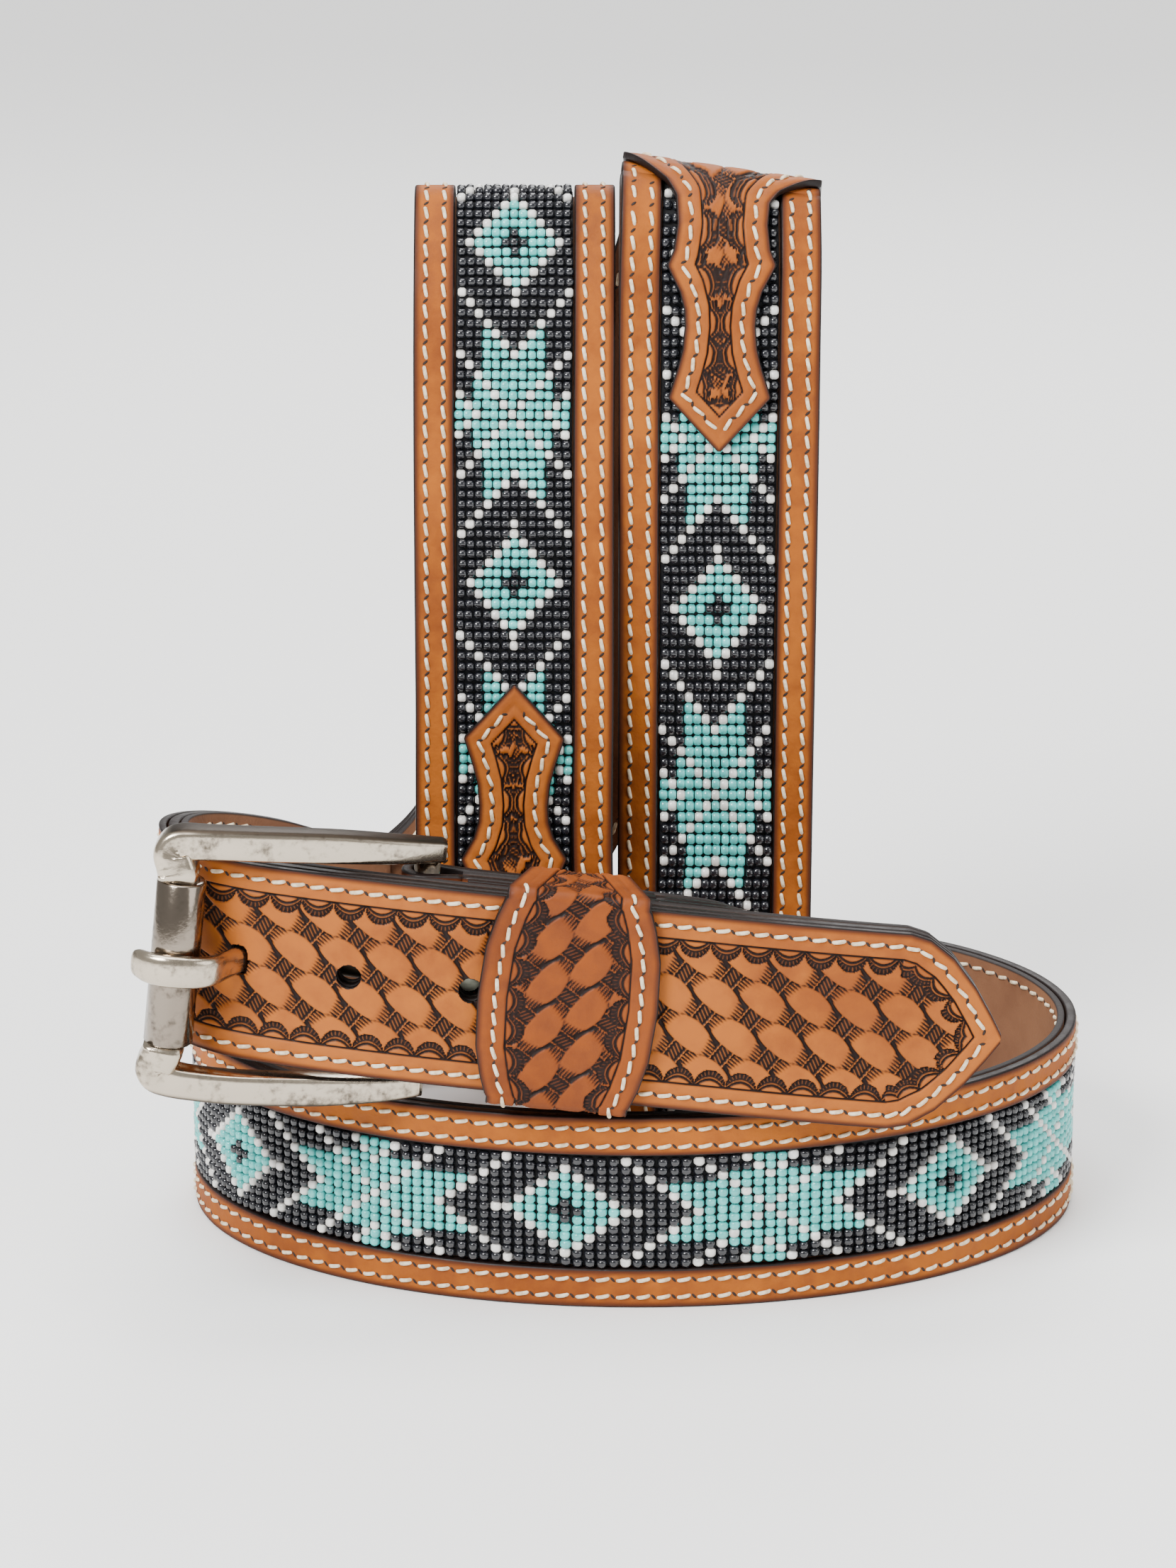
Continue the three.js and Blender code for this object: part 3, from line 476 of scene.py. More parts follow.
# columns: left of the heel bar in buckle lengths, before it in prong thicknesses, width share
PRONG_ROWS = [
    (0.04, 1.2, 0.9),
    (0.25, 1.02, 0.9),
    (0.45, 0.55, 0.9),
    (0.6, 0.3, 0.92),
    (0.7, 1.4, 0.95),
    (0.78, 3.4, 1.0),
    (0.86, on_roller - 0.6, 1.1),
    (1.0, on_roller, 1.16),
    (1.1, on_roller - 0.4, 1.1),
    (1.165, on_roller - 1.5, 0.9),
]


def prong_shape(grow, steps=6):
    rows = smooth_line(np.array(PRONG_ROWS), steps, False)
    path = buckle_point(rows[:, 0] * BUCKLE_LENGTH, -rows[:, 1] * PRONG_THICKNESS, 0)
    half_up = PRONG_WIDTH * rows[:, 2] / 2 + grow
    half_out = np.full(len(rows), PRONG_THICKNESS / 2 + grow)
    half_out[-5:] *= np.array([1, 0.97, 0.9, 0.75, 0.5])
    half_up[-5:] *= np.array([1, 0.99, 0.96, 0.88, 0.7])
    points, loops, sizes, values = round_tube(path, half_up, half_out, slope_up, 20, 3.0)
    # Painted shade: the prong is darkened from its eye to where it rises through the strap, the length that
    # lies under the strap.
    values["dye"] = np.repeat(eased(-rows[:, 0], -0.7, -0.6), 20)
    return points, loops, sizes, values


front_part = (way_length > BILLET_POINT) & (way_at[:, 1] + FOOTPRINT_CENTRE[1] < 0)
left_of_prong = way_at[:, 0] + FOOTPRINT_CENTRE[0] < HEEL_BAR_X - BUCKLE_LENGTH * 0.765
PRONG_HOLE = way_length[front_part & left_of_prong].max()
PUNCHES = [PRONG_HOLE + step * PUNCH_PITCH for step in (-2, -1, 1, 2, 3)]
SCREW_X = HEEL_BAR_X + FOLD_RETURN * 0.55


def punch_cutter():
    parts = []
    for distance in PUNCHES:
        ends = lay(np.full(2, distance), 0, (LINING_LOW - LAYER_GAP / 2, OVERLAY_HIGH + 2))
        parts.append(cylinder_mesh(ends[0], ends[1], PUNCH_RADIUS, 32))
    screw_y = (CHAPE_Y - OVERLAY_HIGH - LAYER_GAP / 3, FOLD_BACK_Y + BAND_HIGH + 1)
    ends = [np.array([SCREW_X, y, slope_z(SCREW_X)]) - FRAME_SHIFT for y in screw_y]
    parts.append(cylinder_mesh(ends[0], ends[1], 2.5, 24))
    return turned_out(joined("punch_cutter", parts))


def prong_cutter():
    return turned_out(joined("prong_cutter", [prong_shape(0.45)[:3] + ({},)]))


def prong_slot_cutter():
    reach = FOLD_RADIUS + 6
    path = buckle_point(np.array([-reach - 1.2, reach - 1.2]), 0, 0)
    half = np.full(2, PRONG_WIDTH / 2 + LAYER_GAP)
    return turned_out(joined("slot", [round_tube(path, half, half * 0 + 5.1, slope_up, 24, 12.0)]))


def carve(piece, *cutters):
    for tool in cutters:
        cut = piece.modifiers.new("cut", "BOOLEAN")
        cut.operation, cut.solver, cut.object = "DIFFERENCE", "EXACT", tool
    settle(piece)


def settle(piece):
    graph = bpy.context.evaluated_depsgraph_get()
    graph.update()
    mesh = bpy.data.meshes.new_from_object(piece.evaluated_get(graph), depsgraph=graph)
    piece.modifiers.clear()
    piece.data = mesh
    mesh.name = piece.name


hole_tools = (punch_cutter(), prong_cutter())
slot_tools = hole_tools + (prong_slot_cutter(),)


def sleeve(distance):
    half = strap_half(distance)
    return slab(distance, -half, half, BAND_LOW, BAND_HIGH, 9)


def fold_slab():
    distance = np.unique(np.concatenate([fold_length, spaced(0, fold_length[-1], 1.0)]))
    half = np.full(len(distance), STRAP_WIDTH / 2)
    return slab(distance, -half, half, BAND_LOW, BAND_HIGH, 9, place=lay_fold)


def strips(name, make, cuts, step, tools):
    """Strips of one layer between cuts along the strap; only those with holes are carved."""
    made = []
    for k, (start, end) in enumerate(zip(cuts[:-1], cuts[1:])):
        distance = tip_spaced(start, step) if end == LENGTH else spaced(start, end, step)
        made.append(joined(name + "_" + "abcd"[k], [make(distance)]))
        if end <= HOLES_START or start >= HOLES_END:
            carve(made[-1], *tools)
    return made


def lining_slab(distance):
    half = strap_half(distance)
    return slab(distance, -half, half, LINING_LOW, LINING_HIGH, 7, 0.3)


# The lining shares the holes of the outer leather, so both are laid and carved here.
STRAP_START, CHAPE_START, HOLES_START = 6.6, 7.6, 40.0
HOLES_END = PRONG_HOLE - 2.6 * PUNCH_PITCH
for piece in strips("lining", lining_slab, (STRAP_START, HOLES_START, HOLES_END, LENGTH), 2.0, hole_tools):
    coat(piece, lining_leather)
    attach(piece, "root")
    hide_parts("lining")
chape_leather = strips("chape_leather", sleeve, (STRAP_START, HOLES_START, WINDOW_START), 1.8, slot_tools)
billet_leather = strips("billet_leather", sleeve, (WINDOW_END, HOLES_END, LENGTH), 1.8, hole_tools)
chape_fold = joined("chape_fold", [fold_slab()])
carve(chape_fold, *slot_tools)
rail_distance = spaced(WINDOW_START, WINDOW_END, 1.5)
rail_half = np.full(len(rail_distance), STRAP_WIDTH / 2)
strap_bands = joined(
    "strap_bands",
    [
        slab(rail_distance, -rail_half, rail_half * 0 - WINDOW_HALF, BAND_LOW, BAND_HIGH, 9),
        slab(rail_distance, rail_half * 0 + WINDOW_HALF, rail_half, BAND_LOW, BAND_HIGH, 9),
    ],
)

BAND_LIGHT = (0.360, 0.098, 0.008, 1)
BAND_DARK = (0.200, 0.046, 0.004, 1)
BURNISH = (0.070, 0.016, 0.004, 1)
ANTIQUE = (0.010, 0.0025, 0.001, 1)
STITCH_PITCH = 3.73
BAND_ROWS = (16.7, 13.3)


def leather(name, light, dark, grooved=False):
    """Burnished leather: mottled body, darker rims, painted edges and, if tooled, antiqued grooves."""
    material, shader, wire = finish(name, Specular_IOR_Level=0.22)
    if grooved:
        mottle, grain, mix, burnt, paint = 26.0, 260.0, 0.6, (0.0003, 0.0014), (0.00008, 0.0003)
        pores, relief, rough, coats = 380.0, 0.4, (0.38, 0.54), (0.05, 0.05, 0.3)
    else:
        mottle, grain, mix, burnt, paint = 22.0, 240.0, 0.62, (0.0004, 0.0016), (0.00012, 0.0004)
        pores, relief, rough, coats = 420.0, 0.5, (0.4, 0.55), (0.06, 0.0, 0.35)
    broad, fine = cloudy(wire, mottle, 3.0), cloudy(wire, grain, 5.0)
    body = (broad * mix + fine * (1 - mix)).ramp(0.34, 0.64).tint(dark, light)
    rim, top = attribute(wire, "rim"), attribute(wire, "top")
    body = rim.ramp(*burnt).tint(BURNISH, body)
    if grooved:
        # On leather the per-vertex attribute holds only the antique stain left in the tooled grooves.
        tone_mix = attribute(wire, "dye") + (fine - 0.5) * 0.18
        body = tone_mix.ramp(0.14, 0.72).tint(body, ANTIQUE)
    painted = rim.ramp(*paint) * top.ramp(0.5, 0.9)
    feed(shader, painted.tint(EDGE_PAINT, body), "Base Color")
    feed(shader, fine.ramp(0.3, 0.7, *rough) + painted * 0.2, "Roughness")
    bump(shader, wire, cloudy(wire, 1500.0, 3.0) * 0.5 + cloudy(wire, pores, 2.0) * 0.5, relief, 0.0003)
    feed(shader, painted.ramp(0, 1, *coats[:2]), "Coat Weight")
    shader.inputs["Coat Roughness"].default_value = coats[2]
    return material


band_leather = leather("band_leather", BAND_LIGHT, BAND_DARK)
for piece in chape_leather + billet_leather + [chape_fold, strap_bands]:
    coat(piece, band_leather)
    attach(piece, "root")
    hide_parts("outer_strap")


# Bead inlay: rows of glass seed beads, thirteen across, sewn with dark thread on a black backing that
# lies in the strap's window. Each bead's hole runs across the strap.
BEADS_ACROSS, BEAD_PITCH = 13, 1.68
BEAD_WIDTH, BEAD_LENGTH = 1.92, 1.56
REPEAT = 34
BEAD_ROW_PITCH = 2.04
# columns: the place in the photograph of a diamond's or a star's middle, as a height on an upright or a
# turn on the ring in degrees, and how many repeats of the pattern lie before it
PATTERN_MARKS = [
    ("left", 124.4, 1.5), ("left", 187.4, 2.5), ("ring", 208.0, 7.5), ("ring", 235.2, 8),
    ("ring", 261.2, 8.5), ("ring", 287.2, 9), ("ring", 314.2, 9.5), ("ring", 340.0, 10),
    ("right", 79.9, 13), ("right", 118.2, 13.5), ("right", 152.0, 14),
]


def mark_distance(part, place):
    """Distance along the strap of a height on the left or right upright, or of a turn on the ring."""
    if part == "ring":
        first_row = left_point - LEFT_POINT_ROW + len(LEFT_ROWS)
        share = (place - RING_TURNS[0]) / (RING_TURNS[1] - RING_TURNS[0])
        step = (first_row + share * (RING_ROWS - 1)) * WAY_STEPS
        return np.interp(step, np.arange(len(way_length)), way_length)
    start = left_point - 1 if part == "left" else right_point - 3
    upright = slice(start * WAY_STEPS, (start + 4) * WAY_STEPS)
    return np.interp(place, way_at[upright, 2], way_length[upright])


def pattern_rows():
    """Distances to a tenth of a millimetre and the repeats before them, from end to end of the window."""
    rows = [(mark_distance(part, place), before) for part, place, before in PATTERN_MARKS]
    for index, distance in ((0, WINDOW_START - 2), (-1, WINDOW_END + 2)):
        near, before = rows[index]
        end = (distance, before + (distance - near) / (BEAD_ROW_PITCH * REPEAT))
        rows.insert(0 if index == 0 else len(rows), end)
    distances, repeats = np.array(rows).T
    return np.round(distances, 1), np.round(repeats, 3)


inlay_distance = spaced(WINDOW_START + LAYER_GAP, WINDOW_END - LAYER_GAP, 3.0)
inlay_half = np.full(len(inlay_distance), 11.0)
bead_backing = joined(
    "bead_backing",
    [slab(inlay_distance, -inlay_half, inlay_half, BAND_LOW, BAND_LOW + 0.75, 7, 0.2)],
)
backing_cloth, shader, wire = finish("backing_cloth", (0.006, 0.006, 0.007, 1), Roughness=0.9)
bump(shader, wire, cloudy(wire, 1800.0, 2.0), 0.5, 0.0002)
coat(bead_backing, backing_cloth)


def bead_colours(across, row):
    """0 black, 1 turquoise, 2 white, from the counts across and along one repeat."""
    a = np.abs(across)
    star = np.abs((row + REPEAT / 2) % REPEAT - REPEAT / 2)
    diamond = REPEAT / 2 - star
    colour = np.zeros(len(a), int)
    colour[(star <= 1) | ((star <= 3) & (a <= 4)) | ((star <= 8) & (a <= 3) & (a > star - 6))] = 1
    colour[(a == star) & (star <= 6)] = 2
    colour[(a == star + 4) & (star <= 2)] = 2
    colour[(a == star - 6) & (star <= 12)] = 2
    colour[a + diamond < 5] = 1
    colour[a + diamond <= 1] = 0
    colour[a + diamond == 5] = 2
    colour[(a == 0) & (diamond == 6)] = 2
    return colour


def bead_places():
    distances, repeats = pattern_rows()
    counts = np.arange(math.ceil(repeats[0] * REPEAT), int(repeats[-1] * REPEAT) + 1)
    along = np.interp(counts / REPEAT, repeats, distances)
    keep = (along > WINDOW_START + 1.5) & (along < WINDOW_END - 1.5)
    counts, along = counts[keep], along[keep]
    lanes = np.arange(BEADS_ACROSS) - BEADS_ACROSS // 2
    row, lane = np.meshgrid(counts, lanes, indexing="ij")
    step = np.repeat(np.gradient(along), BEADS_ACROSS)
    return np.repeat(along, BEADS_ACROSS), row.ravel(), lane.ravel(), step


def points_with(name, at, primary, secondary, size):
    mesh = bpy.data.meshes.new(name)
    mesh.vertices.add(len(at))
    mesh.vertices.foreach_set("co", (at * MM).ravel())
    for key, data in (("primary", primary), ("secondary", secondary), ("size", size)):
        mesh.attributes.new(key, "FLOAT_VECTOR", "POINT").data.foreach_set("vector", data.ravel())
    return placed_object(name, mesh)


def spread_tree():
    """Places a copy of one object on every point, turned by two directions and sized by a third."""
    tree = bpy.data.node_groups.new("spread_along_strap", "GeometryNodeTree")
    panel = tree.interface
    panel.new_socket("Geometry", in_out="INPUT", socket_type="NodeSocketGeometry")
    piece_in = panel.new_socket("Piece", in_out="INPUT", socket_type="NodeSocketObject")
    finish_in = panel.new_socket("Finish", in_out="INPUT", socket_type="NodeSocketMaterial")
    panel.new_socket("Geometry", in_out="OUTPUT", socket_type="NodeSocketGeometry")
    start = Wire(tree, None)
    given = start.node("NodeGroupInput").outputs

    def named(key):
        names = {"Name": key}
        return start.out("GeometryNodeInputNamedAttribute", "Attribute", names, data_type="FLOAT_VECTOR")

    ways = {"Primary Axis": named("primary"), "Secondary Axis": named("secondary")}
    turn = start.out("FunctionNodeAxesToRotation", 0, ways, primary_axis="Z", secondary_axis="X")
    one = {"Object": Wire(tree, given["Piece"])}
    shape = start.out("GeometryNodeObjectInfo", "Geometry", one, transform_space="ORIGINAL")
    copies = {"Points": Wire(tree, given["Geometry"]), "Instance": shape, "Rotation": turn}
    copies["Scale"] = named("size")
    made = start.out("GeometryNodeInstanceOnPoints", "Instances", copies)
    real = start.out("GeometryNodeRealizeInstances", "Geometry", {"Geometry": made})
    dressed = {"Geometry": real, "Material": Wire(tree, given["Finish"])}
    start.node("NodeGroupOutput", {"Geometry": start.out("GeometryNodeSetMaterial", 0, dressed)})
    return tree, piece_in.identifier, finish_in.identifier


spread, spread_piece, spread_finish = spread_tree()


def spread_over(holder, shape, material):
    modifier = holder.modifiers.new("spread", "NODES")
    modifier.node_group = spread
    modifier[spread_piece], modifier[spread_finish] = shape, material
    settle(holder)
    for key in ("primary", "secondary", "size"):
        if key in holder.data.attributes:
            holder.data.attributes.remove(holder.data.attributes[key])
    return holder


def bead_shape():
    angle = np.linspace(0, 2 * math.pi, 8, endpoint=False)
    rings = []
    for place, radius in ((-1, 0.66), (-0.5, 0.98), (0.5, 0.98), (1, 0.66)):
        ring = np.stack([np.cos(angle), np.full(8, 0.0), -np.sin(angle)], 1) * radius * BEAD_WIDTH / 2
        ring[:, 1] = place * BEAD_LENGTH / 2
        rings.append(ring)
    return small_solid("one_bead", rings)


BEAD_THREAD_LEVEL = 1.12
BEAD_FINISHES = (
    ("black", (0.012, 0.013, 0.017, 1), 0.16),
    ("turquoise", (0.105, 0.575, 0.545, 1), 0.26),
    ("white", (0.800, 0.780, 0.740, 1), 0.26),
)
one_bead = bead_shape()
bead_along, bead_row, bead_lane, bead_step = bead_places()
bead_kind = bead_colours(bead_lane, bead_row)
draws = np.random.default_rng(1138)
bead_loose = draws.normal(0, 1, (len(bead_along), 7))
wave = 0.22 * np.sin(bead_along / 7.3) + 0.12 * np.sin(bead_along / 2.9 + 1.2)
bead_at = lay(
    bead_along + 0.05 * bead_loose[:, 0],
    bead_lane * BEAD_PITCH + 0.05 * bead_loose[:, 1] + wave,
    BAND_LOW + BEAD_THREAD_LEVEL + 0.04 * bead_loose[:, 2],
)
_, bead_forward, bead_face, bead_side = on_way(bead_along)
bead_tilt = 0.06 * bead_loose[:, 3:4] * bead_forward + 0.05 * bead_loose[:, 4:5] * bead_side
bead_face = unit(bead_face + bead_tilt)
bead_size = 1 + 0.035 * np.clip(bead_loose[:, 4:7], -2, 2)
bead_size[:, 0] *= np.clip(bead_step / 2.0, 0.9, 1.18)
bead_pieces = []
for kind, (name, colour, roughness) in enumerate(BEAD_FINISHES):
    glass, shader, wire = finish(name + "_glass", colour, Roughness=roughness, Coat_Roughness=0.08)
    shader.inputs["Coat Weight"].default_value = 0.5
    dimmer = tuple(0.72 * c for c in colour[:3]) + (1,)
    feed(shader, cloudy(wire, 520.0, 1.0).ramp(0.35, 0.65).tint(dimmer, colour), "Base Color")
    for half in (0, 1):
        chosen = (bead_kind == kind) & ((bead_along > (WINDOW_START + WINDOW_END) / 2) == bool(half))
        holder = points_with(
            "beads_" + name + "_" + "ab"[half],
            bead_at[chosen],
            bead_face[chosen],
            bead_forward[chosen],
            bead_size[chosen],
        )
        bead_pieces.append(spread_over(holder, one_bead, glass))
bpy.data.objects.remove(one_bead)
for piece in bead_pieces + [bead_backing]:
    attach(piece, "root")
    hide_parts("bead_inlay")


# Tooled overlays: saddle leather stamped with basket weave inside a border of half-round stamps, cut to
# a waisted point where each ends on the strap, and sewn down along a single row.
TAIL_LENGTH = 54.0
TAIL_SHAPE = [
    (0, 0.02), (0.19, 0.51), (0.29, 0.42), (0.36, 0.37), (0.44, 0.35), (0.5, 0.36), (0.56, 0.41),
    (0.64, 0.54), (0.69, 0.48), (0.77, 0.45), (0.84, 0.47), (0.89, 0.57), (0.95, 0.8), (1, 1),
]
WEAVE_ALONG, WEAVE_ACROSS, WEAVE_SHIFT = 8.5, 7.6, 4.15
LOBE_HALF_LENGTH, LOBE_HALF_WIDTH, LOBE_TILT = 5.9, 3.0, math.radians(35)
BAR_HALF_LENGTH, BAR_HALF_WIDTH, BAR_TILT = 2.7, 1.5, math.radians(57)
HATCH_TILT, HATCH_PITCH = math.radians(62), 0.66
BORDER, TAIL_BORDER = 5.1, 4.7
SHELL_PITCH, SHELL_HALF_WIDTH, SHELL_REACH = 5.7, 2.85, 3.3
CRESCENT_HALF_WIDTH, CRESCENT_REACH = 2.4, 1.25
TOOLING_DEPTH = 0.7


def lobe_height(u, v):
    """A pillow of the weave: domed, narrow at its ends, which are cut into a fringe."""
    a = u * math.cos(LOBE_TILT) - v * math.sin(LOBE_TILT)
    b = u * math.sin(LOBE_TILT) + v * math.cos(LOBE_TILT)
    reach = np.abs(a + 0.25 * b * np.sign(a)) / LOBE_HALF_LENGTH
    width = LOBE_HALF_WIDTH * (1 - 0.62 * np.clip(reach, 0, 1) ** 2.1)
    inside = eased(width - np.abs(b), 0.0, 0.45) * eased(1 - reach, 0.0, 0.06)
    dome = 1 - 0.2 * np.clip(b / width, -1, 1) ** 2 - 0.12 * reach**2
    fringe = eased(reach, 0.52, 0.8)
    lines = 0.5 + 0.5 * np.cos(2 * math.pi * b / 0.62)
    return inside * (dome - fringe * (0.1 + 0.62 * lines))


def bar_height(u, v):
    """A hatched bar between two pillows, with a thin raised line along each side."""
    a = u * math.cos(BAR_TILT) + v * math.sin(BAR_TILT)
    b = u * math.sin(BAR_TILT) - v * math.cos(BAR_TILT)
    inside = eased(BAR_HALF_LENGTH - np.abs(a), 0, 0.25) * eased(BAR_HALF_WIDTH - np.abs(b), -0.2, 0.0)
    way = u * math.sin(HATCH_TILT) + v * math.cos(HATCH_TILT)
    hatch = 0.5 + 0.5 * np.cos(2 * math.pi * way / HATCH_PITCH)
    side = np.exp(-(((np.abs(b) - BAR_HALF_WIDTH) / 0.16) ** 2))
    trough = np.exp(-(((np.abs(b) - BAR_HALF_WIDTH + 0.42) / 0.16) ** 2))
    return inside * np.clip(0.12 + 0.5 * hatch + 0.5 * side - 0.5 * trough, 0, 1)


def weave(along, across):
    height = np.zeros(len(along))
    for j in range(-4, 5):
        v = across + WEAVE_ACROSS * (j + 0.5)
        u = (along - WEAVE_SHIFT * j + WEAVE_ALONG / 2) % WEAVE_ALONG - WEAVE_ALONG / 2
        for shift in (-WEAVE_ALONG, 0, WEAVE_ALONG):
            bar = bar_height(u + shift - (WEAVE_ALONG + WEAVE_SHIFT) / 2, v + WEAVE_ACROSS / 2)
            height = np.maximum(height, np.maximum(lobe_height(u + shift, v), bar))
    return height


def shells(along, depth):
    """Half-round border stamps: a raised crescent, a thin ridge and a band of rays."""
    u = (along + SHELL_PITCH / 2) % SHELL_PITCH - SHELL_PITCH / 2
    crescent = depth / CRESCENT_REACH + (u / CRESCENT_HALF_WIDTH) ** 2
    outer = np.hypot(u / SHELL_HALF_WIDTH, depth / SHELL_REACH)
    rays = 0.5 + 0.5 * np.cos(np.arctan2(depth + 0.5, u) * 28)
    height = 0.56 - 0.5 * rays
    height = np.where(crescent < 1.75, 0.1 + 0.6 * np.exp(-(((crescent - 1.42) / 0.16) ** 2)), height)
    height = np.where(crescent < 1, 0.84 - 0.5 * eased(crescent, 0.72, 1.0), height)
    return height - 0.5 * np.exp(-(((outer - 1) / 0.05) ** 2)), outer < 1


def tooled(along, across, rim, run):
    """Height of the worked surface from 0 to 1; rim and run are the way in from and along the edge."""
    depth = rim - BORDER
    shell, in_shell = shells(run, depth)
    inside = np.where(in_shell, shell, weave(along, across))
    border = 1 - 0.25 * np.exp(-(((rim - 2.7) / 0.6) ** 2)) - 0.3 * (1 - eased(rim, 0.0, 1.4))
    height = np.where(depth > 0.1, inside, border)
    height = height - 0.9 * np.exp(-(((depth - 0.02) / 0.17) ** 2))
    return np.clip(height, 0, 1)


def tail_half(reach):
    return STRAP_WIDTH / 2 * np.interp(reach / TAIL_LENGTH, *zip(*TAIL_SHAPE))


def billet_half(distance):
    return np.minimum(tail_half(distance - BILLET_POINT), strap_half(distance))


def chape_half(distance):
    return tail_half(CHAPE_POINT - distance)


def edge_of(half_of, start, end):
    """The edge as a search tree, with each of its places along the strap and along the edge."""
    at = np.arange(start, end, 0.12)
    half = half_of(at)
    run = np.concatenate([[0], np.cumsum(np.hypot(np.diff(at), np.diff(half)))])
    tree = KDTree(len(at))
    for k, place in enumerate(zip(at, half)):
        tree.insert((*place, 0), k)
    tree.balance()
    return tree, at, run


def worked(half_of, start, end):
    """Sink and dye of the tooling on an overlay whose half-width is given along the strap."""
    tree, at, edge_run = edge_of(half_of, start, end)

    def lift(distance, across, rim):
        near, run = rim.copy(), np.interp(distance, at, edge_run)
        shaped = half_of(distance - BORDER * 2) + half_of(distance + BORDER * 2) < STRAP_WIDTH - 0.01
        for k in np.flatnonzero(shaped | (half_of(distance) < STRAP_WIDTH / 2 - 0.01)):
            _, index, near[k] = tree.find((distance[k], abs(across[k]), 0))
            run[k] = edge_run[index]
        narrow = 1 - eased(half_of(distance) / STRAP_WIDTH, 0.4, 0.5)
        near = near + (BORDER - TAIL_BORDER) * narrow * (near > 3.6)
        height = tooled(distance, across, near, run)
        return (1 - height) * TOOLING_DEPTH, 1 - height

    return lift


BILLET_TOOLING = worked(billet_half, BILLET_POINT, LENGTH)
CHAPE_TOOLING = worked(chape_half, 0.0, CHAPE_POINT)


TOOLED_LIGHT = (0.370, 0.104, 0.012, 1)
TOOLED_DARK = (0.240, 0.058, 0.006, 1)


FACE_START = PRONG_HOLE - 14.0
FACE_MIDDLE = PRONG_HOLE + 61.0


def overlay_maker(half_of, lift, columns):
    def make(distance):
        half = half_of(distance)
        return slab(distance, -half, half, OVERLAY_LOW, OVERLAY_HIGH, columns, 0.35, lift)

    return make


face_cuts = (FACE_START, FACE_MIDDLE, LENGTH)
chape_cuts = (CHAPE_START, HOLES_START, CHAPE_POINT)
back_cuts = (BILLET_POINT, BILLET_POINT + 80, HOLES_END, FACE_START)
saddle_leather = leather("saddle_leather", TOOLED_LIGHT, TOOLED_DARK, True)
tooled_pieces = []
for name, node, half_of, lift, columns, cuts, step in (
    ("billet_face", "billet_overlay", billet_half, BILLET_TOOLING, 176, face_cuts, 0.22),
    ("billet_tail", "billet_overlay", billet_half, BILLET_TOOLING, 90, back_cuts, 0.42),
    ("chape_overlay", "chape_overlay", chape_half, CHAPE_TOOLING, 90, chape_cuts, 0.42),
):
    made = strips(name, overlay_maker(half_of, lift, columns), cuts, step, hole_tools)
    tooled_pieces += [(piece, node) for piece in made]
for piece, node in tooled_pieces:
    coat(piece, saddle_leather)
    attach(piece, "root")
    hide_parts(node)


# Keeper: a loop of the same tooled leather round the billet and the chape, wide and waisted at the
# front and narrow behind, with its butted ends sewn together at the back.
KEEPER_FRONT, KEEPER_BACK, KEEPER_THICKNESS = 33.0, 17.0, 1.9
KEEPER_X = -12.4
KEEPER_FRONT_Y = BILLET_Y - OVERLAY_HIGH - LAYER_GAP
KEEPER_BACK_Y = CHAPE_Y - LINING_LOW + LAYER_GAP
KEEPER_HALF = STRAP_WIDTH / 2 + LAYER_GAP
keeper_middle = np.array([KEEPER_X, 0, slope_z(KEEPER_X)]) - FRAME_SHIFT


def keeper_way():
    """Rows of y, up, face angle and width share round the loop, from the middle of the back."""
    half, front, back = KEEPER_HALF, KEEPER_FRONT_Y, KEEPER_BACK_Y
    rows = [(back, up, 90, 0.0) for up in np.linspace(0, half, 8)]
    rows += [(back, half, a, 0.05) for a in range(75, -1, -15)]
    for share in np.linspace(0, 1, 8):
        rows.append((back + (front - back) * share, half, 0, 0.1 + 0.46 * share))
    rows += [(front, half, a, 0.56) for a in range(-15, -91, -15)]
    for up in np.linspace(half, -half, 90)[1:-1]:
        share = np.interp(abs(up) / half, [0, 0.5, 0.8, 0.985, 1], [1, 0.93, 0.76, 0.6, 0.56])
        rows.append((front, up, -90, share))
    rows += [(front, -half, a, 0.56) for a in range(-90, -181, -15)]
    for share in np.linspace(0, 1, 8):
        rows.append((front + (back - front) * share, -half, -180, 0.56 - 0.46 * share))
    rows += [(back, -half, a, 0.05) for a in range(-195, -271, -15)]
    rows += [(back, up, -270, 0.0) for up in np.linspace(-half, -0.05, 8)]
    return np.array(rows)


keeper_rows = keeper_way()
outer_y = keeper_rows[:, 0] + KEEPER_THICKNESS * np.sin(np.radians(keeper_rows[:, 2]))
outer_up = keeper_rows[:, 1] + KEEPER_THICKNESS * np.cos(np.radians(keeper_rows[:, 2]))
keeper_length = np.concatenate([[0], np.cumsum(np.hypot(np.diff(outer_y), np.diff(outer_up)))])
keeper_length += np.arange(len(keeper_length)) * 1e-4


def lay_keeper(distance, across, height):
    y, up, angle = (np.interp(distance, keeper_length, keeper_rows[:, k]) for k in range(3))
    angle = np.radians(angle)
    y = y + height * np.sin(angle) - FRAME_SHIFT[1]
    up = up + height * np.cos(angle)
    points = keeper_middle + np.outer(up, slope_up) - np.outer(across, slope_left)
    points[:, 1] = y
    return points


def keeper_half_at(distance):
    share = np.interp(distance, keeper_length, keeper_rows[:, 3])
    return (KEEPER_BACK + share * (KEEPER_FRONT - KEEPER_BACK)) / 2


def keeper_lift(distance, across, rim):
    height = tooled(distance - 2.0, across, rim * 0.96, distance)
    return (1 - height) * TOOLING_DEPTH, 1 - height


def keeper_slab():
    fine = spaced(0, keeper_length[-1], 0.3)
    half = keeper_half_at(fine)
    return slab(fine, -half, half, 0.0, KEEPER_THICKNESS, 130, 0.4, keeper_lift, lay_keeper)


